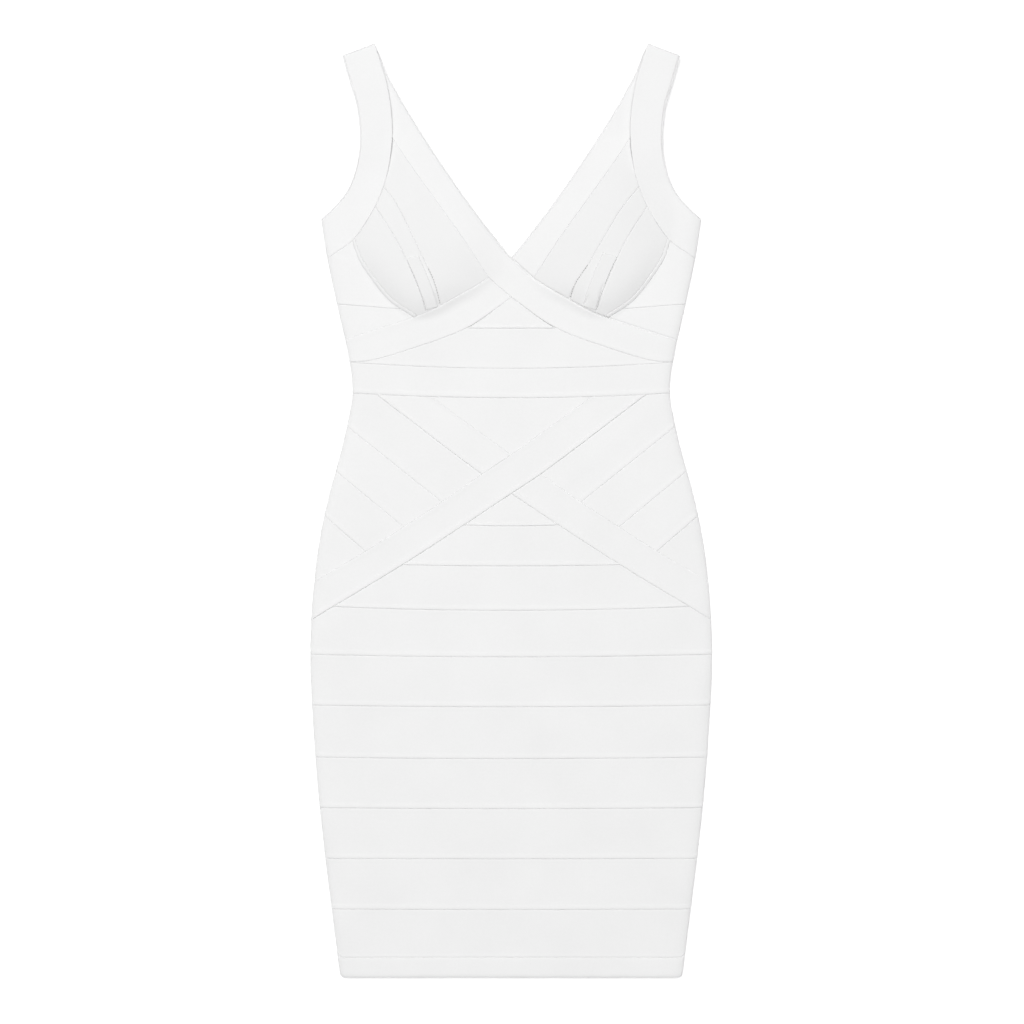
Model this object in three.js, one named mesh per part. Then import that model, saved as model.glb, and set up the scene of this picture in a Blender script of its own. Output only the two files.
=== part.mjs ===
// A sleeveless bodycon dress sewn from bandage-knit strips, lying flat on its back.
// Millimetres. X runs across the dress, Y from the hem up to the shoulders, Z up from the surface.
// Left is -X and right is +X, as seen from above with the shoulders at the top.

import * as THREE from "three";

// Cloth and layers
const WALL = 2.2;
const LAYER_GAP = 0.3;
const SEAM_GAP = 0.3;
const BACK_BOTTOM = 0;
const BACK_TOP = BACK_BOTTOM + WALL;
const FRONT_BOTTOM = BACK_TOP + LAYER_GAP;
const FRONT_TOP = FRONT_BOTTOM + WALL;
const FOLD_EDGE_THICKNESS = 0.9;
const FRONT_FOLD_WIDTH = 7.5;
const BACK_FOLD_WIDTH = 4.5;
const BACK_SETBACK = 1.0;
const BACK_NECK_SETBACK = 1.5;
const BACK_NECK_TOP = { x: 121.5, y: 418 };

// The raised welt along the lower edge of a band, and how far an upper strip stands over its neighbours
const WELT_WIDTH = 4.6;
const WELT_CROWN = 1.1;
const WELT_RAISE = 0.6;
const OVERLAP_RAISE = 0.5;
const HEM_DEPTH = 19.5;
const HEM_RAISE = 0.6;

// The armhole band climbs onto the neck band below the strap
const STRAP_CLIMB_START = 312;
const STRAP_CLIMB_END = 352;
const STRAP_CLIMB = WALL + LAYER_GAP;

// Cups: a dome over the apex, with a reach in each direction (0 is away from the centre line, 90 is up)
const CUP_APEX = { x: 92, y: 240 };
const CUP_HEIGHT = 13;
const CUP_FLATNESS = 5;
const CUP_FOOT_POWER = 1.5;
const cupReach = table(["angle", "reach"], [
  [-36, 46],
  [-13, 50],
  [4, 57],
  [19, 67],
  [45, 84],
  [80, 116],
  [110, 112],
  [135, 98],
  [180, 84],
  [205, 67],
  [226, 59],
  [258, 57],
  [272, 56],
  [287, 51],
  [303, 47],
  [324, 46],
  [347, 50],
  [364, 57],
]);
const PIPING_WIDTH = 3.4;
const PIPING_RAISE = 1.3;
const TAB_THICKNESS = 1.2;
const TAB_GAP = 0.45;
const TAB_INSET = 0.6;
const TAB_SHARES = 100;
const TAB_TOP_SHARES = 3;
const TAB_SLOPE = 0.28;
const TAB = { left: { start: 0.52, width: 11.4 }, right: { start: 0.5, width: 13.5 } };

// Half width of the dress at each height, from the underarm corner to the hem
const sideLine = table(["y", "half"], [
  [281, 183.3],
  [243, 177.3],
  [193, 166.6],
  [155, 158.0],
  [128, 153.6],
  [112, 153.0],
  [97, 155.0],
  [58, 163.7],
  [20, 174.3],
  [-19, 183.0],
  [-57, 188.7],
  [-96, 192.1],
  [-134, 193.6],
  [-173, 192.7],
  [-250, 187.8],
  [-327, 180.1],
  [-404, 170.5],
  [-450, 164.7],
]);

// Seams of one half, as distance x from the centre line and height y
const neckline = table(["x", "y"], [
  [131.6, 449.7],
  [125.4, 436],
  [119.2, 420.4],
  [111.0, 405],
  [102.3, 389.6],
  [73.4, 343.4],
  [41.7, 297.2],
  [24.3, 274.1],
  [6.0, 251.0],
  [0, 244.2],
]);
const neckSeam = table(["x", "y"], [
  [156.2, 439.7],
  [145.7, 412.8],
  [132.2, 389.6],
  [113.9, 357.9],
  [89.8, 322.2],
  [72.5, 298.1],
  [45.0, 259.6],
  [21.9, 224.4],
]);
const armholeEdge = table(["x", "y"], [
  [162.6, 438.1],
  [155.3, 412.8],
  [148.5, 389.6],
  [145.6, 362.7],
  [146.6, 343.4],
  [152.4, 320.3],
  [160.1, 304.9],
  [173.6, 289.5],
  [183.3, 281],
]);
const armholeSeam = table(["x", "y"], [
  [131.6, 450],
  [124.8, 428.4],
  [120.6, 414.7],
  [116.3, 391.6],
  [114.6, 371],
  [115.0, 352],
  [118.4, 328.0],
  [122.9, 311.6],
  [130.8, 292.8],
  [151.9, 261.2],
  [177.3, 243],
]);
const underbustTop = table(["x", "y"], [
  [0, 244.2],
  [21.9, 224.4],
  [56.6, 203.6],
  [81.6, 190.5],
  [92.2, 186.9],
  [159.9, 164.8],
]);
const underbustBottom = table(["x", "y"], [
  [0, 205.5],
  [42.5, 176.4],
  [92, 157.4],
  [137, 144.4],
  [155.6, 143.4],
]);
const cupInnerSeam = {
  left: table(["x", "y"], [
    [122.9, 311.6],
    [112.3, 298.1],
    [87.2, 248.1],
    [74.0, 219.2],
    [68.2, 197.4],
  ]),
  right: table(["x", "y"], [
    [122.9, 311.6],
    [106.3, 291],
    [88.4, 261.6],
    [74.8, 238],
    [60.5, 216],
    [56.6, 203.6],
  ]),
};
const cupOuterSeam = table(["x", "y"], [
  [130.8, 292.8],
  [111.0, 261.2],
  [99.1, 237.5],
  [88.0, 211],
  [81.6, 190.5],
]);
const cupPiping = table(["x", "y"], [
  [151.9, 261.2],
  [146.2, 244],
  [137.4, 229.5],
  [116.3, 203.1],
  [92.2, 186.9],
]);
const SIDE_SEAM = { pipingX: 107.5, pipingY: 193.8, sideY: 199.1 };

// Where seams of the bodice meet: the lower edges of the neck bands, the cup's upper tip between the neck
// band and the armhole band, and the ends of the midriff between the neck bands and the waistband
const NECK_CROSSING = { x: 0, y: 205.5 };
const MIDRIFF_TIP_DEPTH = 3;
const CUP_TIP = { neckX: 113.4, armholeX: 114.7, y: 357 };
const MIDRIFF_END = { x: 150, y: 143.6 };

// Hip bands, from the waistband across the centre line to the opposite hip (x runs with the band)
const crossTop = table(["x", "y"], [
  [-77.3, 109.7],
  [0, 54.1],
  [35, 30.6],
  [67, 8.1],
  [104, -15.7],
  [140.4, -39.1],
  [179.6, -62.5],
  [189.3, -69.3],
]);
const crossBottom = table(["x", "y"], [
  [-130, 111.9],
  [-28.4, 35.2],
  [0, 16.4],
  [45.6, -13.9],
  [104.8, -52.2],
  [171.4, -92.4],
  [192.4, -105.1],
]);

// Where the edges of the two hip bands cross: on the centre line above and below, and beside it
const HIP_CROSSING = { topY: 54.1, besideX: 28.4, besideY: 35.2, bottomY: 16.4 };
const YOKE_END_SETBACK = 2;
const CENTRE_TIP_DEPTH = 1.2;
const HIP_FOLD_TIP = { x: 188.2, y: -68.5, foldY: -66.5 };

// Diagonal side seams: height at the side fold, and x where they meet the hip band
const diagonalSeams = table(["sideY", "crossX"], [
  [81.1, 67.0],
  [38.2, 104.0],
  [-4.8, 140.4],
]);

// Level seams: height in the middle, height at the given half width
const WAIST_TOP = { middle: 137.0, end: 143.1, half: 155.7 };
const WAIST_BOTTOM = { middle: 108.5, end: 113.2, half: 153.1 };
const midriffSeam = { middle: 175.6, end: 175.6, half: 42 };
const centreSeams = [
  { middle: -14.8, end: -13.9, half: 45.6 },
  { middle: -53.4, end: -52.2, half: 104.8 },
  { middle: -96.2, end: -92.4, half: 171.4 },
];
const skirtSeams = table(["middle", "end", "half"], [
  [-141.0, -138.5, 193.4],
  [-189.1, -187.4, 191.9],
  [-239.0, -237.5, 188.8],
  [-287.2, -286.2, 184.3],
  [-335.5, -335.1, 179.2],
  [-384.3, -383.8, 173.0],
  [-450.0, -450.0, 164.7],
]);

// Steps along the seams
const FINE_STEP = 9.5;
const MIDDLE_STEP = 14;
const PLAIN_STEP = 24;
const SAMPLE_STEP = 0.3;
const BODICE_COLUMNS = 14;
const END_SHARES = 200;
const END_FADE_COLUMNS = 4;
const SLOPE_PROBE = 0.5;
const SAME_HEIGHT = 1e-9;

const cloth = { front: "#f1f1ef", cup: "#f3f2f0", back: "#ececea" };

const dress = new THREE.Group();
dress.name = "bodycon_dress";

function table(columns, rows) {
  return rows.map((row) => Object.fromEntries(columns.map((column, k) => [column, row[k]])));
}

// A smooth value between the rows of a table, with the slope taken from the neighbouring rows
function between(rows, input, output, value) {
  const end = rows.length - 1;
  const rising = rows[end][input] > rows[0][input];
  const next = rows.findIndex((row) => (rising ? row[input] > value : row[input] < value));
  const k = THREE.MathUtils.clamp((next < 0 ? end : next) - 1, 0, end - 1);
  const slope = (j) => {
    const [a, b] = [rows[Math.max(j - 1, 0)], rows[Math.min(j + 1, end)]];
    return (b[output] - a[output]) / (b[input] - a[input]);
  };
  const [a, b] = [rows[k], rows[k + 1]];
  const span = b[input] - a[input];
  const t = THREE.MathUtils.clamp((value - a[input]) / span, 0, 1);
  const rise = t * t * (3 - 2 * t);
  const ease = t * (1 - t) * span;
  return a[output] + (b[output] - a[output]) * rise + ease * ((1 - t) * slope(k) - t * slope(k + 1));
}

const halfWidth = (y) => between(sideLine, "y", "half", y);
const level = (seam, x) => seam.middle + (seam.end - seam.middle) * (x / seam.half) ** 2;

// A seam as a chain of closely spaced plan points; side is -1 on the left half and 1 on the right
function chain(rows, side = 1) {
  const points = rows.map((row) => new THREE.Vector3(row.x * side, row.y, 0));
  const curve = new THREE.CatmullRomCurve3(points, false, "centripetal");
  const count = Math.ceil(curve.getLength() / SAMPLE_STEP);
  return curve.getPoints(count).map((point) => new THREE.Vector2(point.x, point.y));
}

// The side fold between two heights, and a level seam between two x
function fold(side, fromY, toY) {
  const count = Math.max(2, Math.ceil(Math.abs(toY - fromY) / SAMPLE_STEP));
  return Array.from({ length: count + 1 }, (_, k) => {
    const y = THREE.MathUtils.lerp(fromY, toY, k / count);
    return new THREE.Vector2(side * halfWidth(y), y);
  });
}
function across(seam, fromX, toX) {
  const count = Math.max(2, Math.ceil(Math.abs(toX - fromX) / SAMPLE_STEP));
  return Array.from({ length: count + 1 }, (_, k) => {
    const x = THREE.MathUtils.lerp(fromX, toX, k / count);
    return new THREE.Vector2(x, level(seam, x));
  });
}

function straight(from, to) {
  const count = Math.max(2, Math.ceil(from.distanceTo(to) / SAMPLE_STEP));
  return Array.from({ length: count + 1 }, (_, k) => from.clone().lerp(to, k / count));
}

// The stretch of a chain between the places nearest to two plan points
function stretch(points, from, to) {
  const nearest = (target) => {
    const distances = points.map((point) => point.distanceToSquared(target));
    return distances.indexOf(Math.min(...distances));
  };
  const [start, end] = [nearest(from), nearest(to)];
  return start <= end ? points.slice(start, end + 1) : points.slice(end, start + 1).reverse();
}
const at = (x, y) => new THREE.Vector2(x, y);
const first = (points) => points[0];
const last = (points) => points[points.length - 1];
const lengthOf = (points) => points.slice(1).reduce((sum, point, k) => sum + point.distanceTo(points[k]), 0);

// Points along a chain at shares of its length, and at equal steps
function placed(points, shares) {
  const total = lengthOf(points);
  let [k, passed] = [0, 0];
  return shares.map((share) => {
    if (share >= 1) return last(points).clone();
    const wanted = total * share;
    while (k < points.length - 2 && passed + points[k].distanceTo(points[k + 1]) < wanted) {
      passed += points[k].distanceTo(points[k + 1]);
      k += 1;
    }
    const step = points[k].distanceTo(points[k + 1]);
    return points[k].clone().lerp(points[k + 1], (wanted - passed) / step);
  });
}
const spaced = (points, count) => placed(points, Array.from({ length: count + 1 }, (_, k) => k / count));
const joined = (...runs) => runs.flatMap((run, k) => (k === 0 ? run : run.slice(1)));

// A chain moved sideways; a positive distance moves it to the left of its direction
function beside(points, distance) {
  return points.map((point, k) => {
    const ahead = points[Math.min(k + 1, points.length - 1)];
    const behind = points[Math.max(k - 1, 0)];
    const along = ahead.clone().sub(behind).normalize();
    return at(point.x - along.y * distance, point.y + along.x * distance);
  });
}

// A chain cut or lengthened to start on one seam and end on another
function meeting(points, startSeam, endSeam) {
  const closest = (seam) => {
    const reach = points.map((point) => Math.min(...seam.map((other) => other.distanceToSquared(point))));
    const k = reach.indexOf(Math.min(...reach));
    const gaps = seam.map((other) => other.distanceToSquared(points[k]));
    return { k, point: seam[gaps.indexOf(Math.min(...gaps))] };
  };
  const [start, end] = [closest(startSeam), closest(endSeam)];
  return [start.point.clone(), ...points.slice(start.k + 1, end.k), end.point.clone()];
}

// Height of the cup's dome over the flat front
function domeAt(x, y) {
  const out = Math.abs(x) - CUP_APEX.x;
  const up = y - CUP_APEX.y;
  const angle = (THREE.MathUtils.radToDeg(Math.atan2(up, out)) + 360) % 360;
  const rho = Math.hypot(out, up) / between(cupReach, "angle", "reach", angle);
  return rho < 1 ? CUP_HEIGHT * (1 - rho ** CUP_FLATNESS) ** CUP_FOOT_POWER : 0;
}

// How far the cloth drops as it rolls over the side fold
function foldDrop(x, y, width) {
  if (y > sideLine[0].y) return 0;
  const inward = Math.max(halfWidth(Math.max(y, last(sideLine).y)) - Math.abs(x), 0);
  if (inward >= width) return 0;
  return (WALL - FOLD_EDGE_THICKNESS) * (1 - Math.sqrt(1 - (1 - inward / width) ** 2));
}

// The front: outer and inner height at a plan point
function frontWall(x, y) {
  const outer = FRONT_TOP + domeAt(x, y);
  const slopeX = (domeAt(x + SLOPE_PROBE, y) - domeAt(x - SLOPE_PROBE, y)) / (2 * SLOPE_PROBE);
  const slopeY = (domeAt(x, y + SLOPE_PROBE) - domeAt(x, y - SLOPE_PROBE)) / (2 * SLOPE_PROBE);
  const inner = Math.max(outer - WALL * Math.hypot(1, slopeX, slopeY), FRONT_BOTTOM);
  return { outer: outer - foldDrop(x, y, FRONT_FOLD_WIDTH), inner };
}
function strapWall(x, y) {
  const wall = frontWall(x, y);
  const climb = THREE.MathUtils.smoothstep(y, STRAP_CLIMB_START, STRAP_CLIMB_END) * STRAP_CLIMB;
  return { outer: wall.outer + climb, inner: wall.inner + climb };
}
function backWall(x, y) {
  return { outer: BACK_TOP, inner: BACK_BOTTOM + foldDrop(x, y, BACK_FOLD_WIDTH) };
}

// Places across a panel, as a share of its width or a distance from one of its seams, and a raise of the
// outer face. A welt rises over its slope to a crown and ends lower, at the ditch of the seam.
const WELT_SLOPE = 0.45;
const DITCH_SHARE = 0.4;
const plainRows = [{ share: 0 }, { share: 1 }];
const middleRows = (count) => Array.from({ length: count + 1 }, (_, k) => ({ share: k / count }));
const lowerFoldRows = [
  { share: 0 },
  { share: 0.5 },
  { fromLower: FRONT_FOLD_WIDTH },
  { fromLower: FRONT_FOLD_WIDTH / 3 },
  { share: 1 },
];
const backFoldRows = [
  { share: 0 },
  { fromUpper: BACK_FOLD_WIDTH / 3 },
  { fromUpper: BACK_FOLD_WIDTH },
  { fromLower: BACK_FOLD_WIDTH },
  { fromLower: BACK_FOLD_WIDTH / 3 },
  { share: 1 },
];
const weltRows = (raise = 0) => [
  { share: 0, raise },
  { fromLower: WELT_WIDTH + WELT_SLOPE, raise },
  { fromLower: WELT_WIDTH - WELT_SLOPE, raise: raise + WELT_RAISE },
  { fromLower: WELT_CROWN, raise: raise + WELT_RAISE },
  { share: 1, raise: raise + WELT_RAISE * DITCH_SHARE },
];

// A closed cloth panel between an upper and a lower chain of equal count. start and end are chains from
// the upper to the lower seam; where they are left out, the panel's ends are straight.
function panel(name, upper, lower, options = {}) {
  const rows = options.rows ?? plainRows;
  const wall = options.wall ?? frontWall;
  const columns = upper.length - 1;
  const grid = [];
  // turn is 1 where the lower seam lies to the left of the upper one's run
  const turn = upper[1].clone().sub(upper[0]).cross(lower[0].clone().sub(upper[0])) > 0 ? 1 : -1;
  const top = beside(upper, (turn * SEAM_GAP) / 2);
  const bottom = beside(lower, (-turn * SEAM_GAP) / 2);
  for (let i = 0; i <= columns; i += 1) {
    const width = top[i].distanceTo(bottom[i]);
    const shares = rows.map((row) => {
      if (row.fromLower !== undefined) return 1 - row.fromLower / width;
      return row.fromUpper !== undefined ? row.fromUpper / width : row.share;
    });
    grid.push(shares.map((share) => top[i].clone().lerp(bottom[i], THREE.MathUtils.clamp(share, 0, 1))));
    shares.forEach((share, j) => {
      grid[i][j].share = share;
    });
  }
  bendEnds(grid, options, columns);
  insetEnd(grid, 0, 1);
  insetEnd(grid, columns, columns - 1);
  const outerPoints = [];
  const innerPoints = [];
  grid.forEach((column) => column.forEach((point, j) => {
    const heights = wall(point.x, point.y);
    const raise = (rows[j].raise ?? 0) + (options.raise ?? 0);
    outerPoints.push([point.x, point.y, heights.outer + raise]);
    innerPoints.push([point.x, point.y, heights.inner]);
  }));
  const mesh = new THREE.Mesh(
    closedWall(outerPoints, innerPoints, columns, rows.length - 1, turn),
    new THREE.MeshStandardMaterial({ color: options.colour ?? cloth.front, roughness: 0.9, metalness: 0 }),
  );
  mesh.name = name;
  dress.add(mesh);
}

// Ends that follow a seam: the difference to the straight end fades out along the panel
function bendEnds(grid, ends, columns) {
  for (const [key, from] of [["start", 0], ["end", columns]]) {
    const chainPoints = ends[key];
    if (!chainPoints) continue;
    const fine = spaced(chainPoints, END_SHARES);
    const column = grid[from];
    const moves = column.map((point) => {
      const share = THREE.MathUtils.clamp(point.share, 0, 1);
      return fine[Math.round(share * END_SHARES)].clone().sub(point);
    });
    first(moves).set(0, 0);
    last(moves).set(0, 0);
    const reachOut = Math.min(columns, END_FADE_COLUMNS);
    for (let k = 0; k < reachOut; k += 1) {
      const fade = 1 - k / reachOut;
      grid[from === 0 ? k : columns - k].forEach((point, j) => point.addScaledVector(moves[j], fade));
    }
  }
}

function insetEnd(grid, edge, next) {
  const column = grid[edge];
  const along = last(column).clone().sub(first(column)).normalize();
  const inward = at(-along.y, along.x);
  const ahead = grid[next][0].clone().add(last(grid[next])).sub(first(column)).sub(last(column));
  if (inward.dot(ahead) < 0) inward.negate();
  column.forEach((point) => point.addScaledVector(inward, SEAM_GAP / 2));
}

// Triangles of the outer face, the inner face and the four edges of a wall over a grid
function closedWall(outerPoints, innerPoints, columns, rows, turn) {
  const perColumn = rows + 1;
  const count = outerPoints.length;
  const outer = (i, j) => i * perColumn + j;
  const inner = (i, j) => count + i * perColumn + j;
  const triangles = [];
  const quad = (a, b, c, d) => triangles.push(a, b, c, a, c, d);
  for (let i = 0; i < columns; i += 1) {
    for (let j = 0; j < rows; j += 1) {
      quad(outer(i, j), outer(i + 1, j), outer(i + 1, j + 1), outer(i, j + 1));
    }
  }
  const flat = innerPoints.every((point) => Math.abs(point[2] - innerPoints[0][2]) < SAME_HEIGHT);
  for (let i = 0; i < columns; i += 1) {
    if (!flat) {
      for (let j = 0; j < rows; j += 1) {
        quad(inner(i, j), inner(i, j + 1), inner(i + 1, j + 1), inner(i + 1, j));
      }
      continue;
    }
    quad(inner(i, 0), inner(i, rows), inner(i + 1, rows), inner(i + 1, 0));
  }
  if (flat) {
    for (let j = 0; j < rows - 1; j += 1) {
      triangles.push(inner(0, rows), inner(0, j), inner(0, j + 1));
      triangles.push(inner(columns, j), inner(columns, rows), inner(columns, j + 1));
    }
  }
  for (let i = 0; i < columns; i += 1) {
    quad(outer(i + 1, 0), outer(i, 0), inner(i, 0), inner(i + 1, 0));
    quad(outer(i, rows), outer(i + 1, rows), inner(i + 1, rows), inner(i, rows));
  }
  for (let j = 0; j < rows; j += 1) {
    quad(outer(0, j), outer(0, j + 1), inner(0, j + 1), inner(0, j));
    quad(outer(columns, j + 1), outer(columns, j), inner(columns, j), inner(columns, j + 1));
  }
  if (turn < 0) {
    for (let k = 0; k < triangles.length; k += 3) {
      [triangles[k + 1], triangles[k + 2]] = [triangles[k + 2], triangles[k + 1]];
    }
  }
  const used = [...new Set(triangles)].sort((a, b) => a - b);
  const place = new Map(used.map((index, k) => [index, k]));
  const points = outerPoints.concat(innerPoints);
  const geometry = new THREE.BufferGeometry();
  const positions = used.flatMap((index) => points[index]);
  geometry.setAttribute("position", new THREE.Float32BufferAttribute(positions, 3));
  geometry.setIndex(triangles.map((index) => place.get(index)));
  geometry.computeVertexNormals();
  return geometry;
}

// Both boundaries of a strip in steps of about the same length, closer where an end rolls over a side fold
function strip(name, upper, lower, step, options = {}) {
  const length = Math.max(lengthOf(upper), lengthOf(lower));
  const columns = Math.max(2, Math.ceil(length / step));
  const shares = Array.from({ length: columns + 1 }, (_, k) => k / columns);
  const rolls = [FRONT_FOLD_WIDTH / 3, FRONT_FOLD_WIDTH].map((width) => width / length);
  if (options.startFold) shares.splice(1, rolls[1] > shares[1] * 0.8 ? 1 : 0, ...rolls);
  if (options.endFold) {
    const crowded = rolls[1] > 0.8 / columns ? 1 : 0;
    shares.splice(shares.length - 1 - crowded, crowded, 1 - rolls[1], 1 - rolls[0]);
  }
  panel(name, placed(upper, shares), placed(lower, shares), options);
}

// The two seams of a full-width level band, with extra columns where the cloth rolls over its side folds
function levelPair(upperSeam, lowerSeam) {
  const count = Math.round(upperSeam.half / PLAIN_STEP) * 2;
  const shares = Array.from({ length: count + 1 }, (_, k) => k / count);
  const rolls = [FRONT_FOLD_WIDTH / 3, FRONT_FOLD_WIDTH].map((width) => width / (2 * upperSeam.half));
  shares.splice(1, 0, ...rolls);
  shares.splice(shares.length - 1, 0, 1 - rolls[1], 1 - rolls[0]);
  return [upperSeam, lowerSeam].map((seam) => shares.map((share) => {
    const x = THREE.MathUtils.lerp(-seam.half, seam.half, share);
    return at(x, level(seam, x));
  }));
}

const sides = [
  { name: "left", sign: -1 },
  { name: "right", sign: 1 },
];

// Seams as chains, by half
const seams = Object.fromEntries(sides.map(({ name, sign }) => [name, {
  neckline: chain(neckline, sign),
  neckSeam: chain(neckSeam, sign),
  armholeEdge: chain(armholeEdge, sign),
  armholeSeam: chain(armholeSeam, sign),
  underbustTop: chain(underbustTop, sign),
  underbustBottom: chain(underbustBottom, sign),
  cupInner: chain(cupInnerSeam[name], sign),
  cupOuter: chain(cupOuterSeam, sign),
  piping: chain(cupPiping, sign),
  crossTop: chain(crossTop, sign),
  crossBottom: chain(crossBottom, sign),
}]));

function armholeBands() {
  for (const { name, sign } of sides) {
    const seam = seams[name];
    strip(`armhole_band_${name}`, seam.armholeEdge, seam.armholeSeam, FINE_STEP, {
      rows: middleRows(2),
      wall: strapWall,
      endFold: true,
      end: fold(sign, last(armholeEdge).y, last(armholeSeam).y),
    });
  }
}

function neckBands() {
  const { left, right } = seams;
  strip(
    "neck_band_over",
    joined(left.neckline, right.underbustTop),
    joined(left.neckSeam, right.underbustBottom),
    FINE_STEP,
    { rows: middleRows(2), endFold: true },
  );
  strip("neck_band_right", right.neckline, right.neckSeam, FINE_STEP, { rows: middleRows(2) });
  const overEdge = joined(left.neckSeam, right.underbustBottom);
  const start = stretch(overEdge, last(left.neckSeam), at(NECK_CROSSING.x, NECK_CROSSING.y));
  strip(
    "underbust_band_left",
    stretch(left.underbustTop, last(left.neckSeam), last(left.underbustTop)),
    left.underbustBottom,
    FINE_STEP,
    { rows: middleRows(2), start, endFold: true },
  );
}

function cups() {
  for (const { name, sign } of sides) {
    const seam = seams[name];
    const place = (row) => at(row.x * sign, row.y);
    const innerTop = place(first(cupInnerSeam[name]));
    const outerTop = place(first(cupOuterSeam));
    const innerFoot = place(last(cupInnerSeam[name]));
    const outerFoot = place(last(cupOuterSeam));
    const colour = cloth.cup;
    const neckRun = stretch(seam.neckSeam, at(sign * CUP_TIP.neckX, CUP_TIP.y), last(seam.neckSeam));
    const armRun = stretch(seam.armholeSeam, at(sign * CUP_TIP.armholeX, CUP_TIP.y), innerTop);
    strip(`cup_inner_${name}`, neckRun, joined(armRun, seam.cupInner), FINE_STEP, {
      rows: middleRows(6),
      colour,
      end: stretch(seam.underbustTop, last(seam.neckSeam), innerFoot),
    });
    const cupStrip = { rows: middleRows(2), colour };
    cupStrip.start = stretch(seam.armholeSeam, innerTop, outerTop);
    cupStrip.end = stretch(seam.underbustTop, innerFoot, outerFoot);
    strip(`cup_strip_${name}`, seam.cupInner, seam.cupOuter, FINE_STEP, cupStrip);
    const { inside } = pipingEdges(seam);
    strip(`cup_outer_${name}`, seam.cupOuter, inside, FINE_STEP, {
      rows: middleRows(5),
      colour,
      start: stretch(seam.armholeSeam, outerTop, first(inside)),
      end: stretch(seam.underbustTop, outerFoot, last(inside)),
    });
    strip(`cup_piping_${name}`, inside, pipingEdges(seam).outside, FINE_STEP, { rows: pipingRows, colour });
    casingTab(name, seam);
  }
}

// The two edges of the piping, cut to start at the armhole band and end at the band under the cup
const pipingRows = [
  { share: 0 },
  { share: 0.3, raise: PIPING_RAISE },
  { share: 0.7, raise: PIPING_RAISE },
  { share: 1 },
];
function pipingEdges(seam) {
  const nearCup = seam.cupOuter[Math.floor(seam.cupOuter.length / 2)];
  const edges = [1, -1].map((side) => {
    const edge = beside(seam.piping, (side * PIPING_WIDTH) / 2);
    return meeting(edge, seam.armholeSeam, seam.underbustTop);
  });
  const distance = (edge) => edge[Math.floor(edge.length / 2)].distanceTo(nearCup);
  edges.sort((a, b) => distance(a) - distance(b));
  return { inside: edges[0], outside: edges[1] };
}

// The casing tab lies on the lower stretch of the middle strip
function casingTab(name, seam) {
  const towardsCentre = name === "left" ? 1 : -1;
  const { start, width } = TAB[name];
  const outer = spaced(seam.cupOuter, TAB_SHARES).slice(Math.round(TAB_SHARES * start), -TAB_TOP_SHARES);
  const inner = outer.map((point) => at(point.x + towardsCentre * width, point.y + width * TAB_SLOPE));
  const wall = (x, y) => {
    const { outer: face } = frontWall(x, y);
    return { outer: face + TAB_GAP + TAB_THICKNESS, inner: face + TAB_GAP };
  };
  const shifted = (points, way) => points.map((point) => at(point.x + way * towardsCentre, point.y));
  strip(`cup_tab_${name}`, shifted(inner, -TAB_INSET), shifted(outer, TAB_INSET), FINE_STEP / 2, {
    rows: middleRows(2),
    wall,
    colour: cloth.cup,
  });
}

function sidePanels() {
  for (const { name, sign } of sides) {
    const seam = seams[name];
    const { outside } = pipingEdges(seam);
    const splitPoint = at(sign * SIDE_SEAM.pipingX, SIDE_SEAM.pipingY);
    const upperPiping = stretch(outside, first(outside), splitPoint);
    const lowerPiping = stretch(outside, splitPoint, last(outside));
    const sideTop = last(armholeSeam).y;
    strip(`side_upper_${name}`, upperPiping, fold(sign, sideTop, SIDE_SEAM.sideY), FINE_STEP, {
      rows: lowerFoldRows,
      start: stretch(seam.armholeSeam, first(outside), last(seam.armholeSeam)),
    });
    const sideSeam = straight(last(upperPiping), at(sign * halfWidth(SIDE_SEAM.sideY), SIDE_SEAM.sideY));
    const bandTop = stretch(seam.underbustTop, last(outside), last(seam.underbustTop));
    strip(`side_lower_${name}`, sideSeam, bandTop, MIDDLE_STEP, {
      rows: middleRows(2),
      endFold: true,
      start: lowerPiping,
      end: fold(sign, SIDE_SEAM.sideY, last(underbustTop).y),
    });
  }
}

function midriffAndWaist() {
  const { left, right } = seams;
  const { half, middle } = midriffSeam;
  const tip = at(NECK_CROSSING.x, NECK_CROSSING.y - MIDRIFF_TIP_DEPTH);
  const leftEdge = stretch(left.underbustBottom, tip, at(-half, middle));
  const rightEdge = stretch(right.underbustBottom, tip, at(half, middle));
  strip("midriff_upper", leftEdge, rightEdge, FINE_STEP, {
    rows: middleRows(2),
    end: across(midriffSeam, -half, half),
  });
  const upper = joined(
    spaced(stretch(left.underbustBottom, at(-MIDRIFF_END.x, MIDRIFF_END.y), last(leftEdge)), BODICE_COLUMNS),
    spaced(across(midriffSeam, last(leftEdge).x, last(rightEdge).x), END_FADE_COLUMNS),
    spaced(stretch(right.underbustBottom, last(rightEdge), at(MIDRIFF_END.x, MIDRIFF_END.y)), BODICE_COLUMNS),
  );
  const lower = upper.map((point) => at(point.x, level(WAIST_TOP, point.x)));
  panel("midriff_lower", upper, lower, { rows: middleRows(2) });
  panel("waistband", ...levelPair(WAIST_TOP, WAIST_BOTTOM), {
    rows: weltRows(),
    start: fold(-1, WAIST_TOP.end, WAIST_BOTTOM.end),
    end: fold(1, WAIST_TOP.end, WAIST_BOTTOM.end),
  });
}

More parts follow.
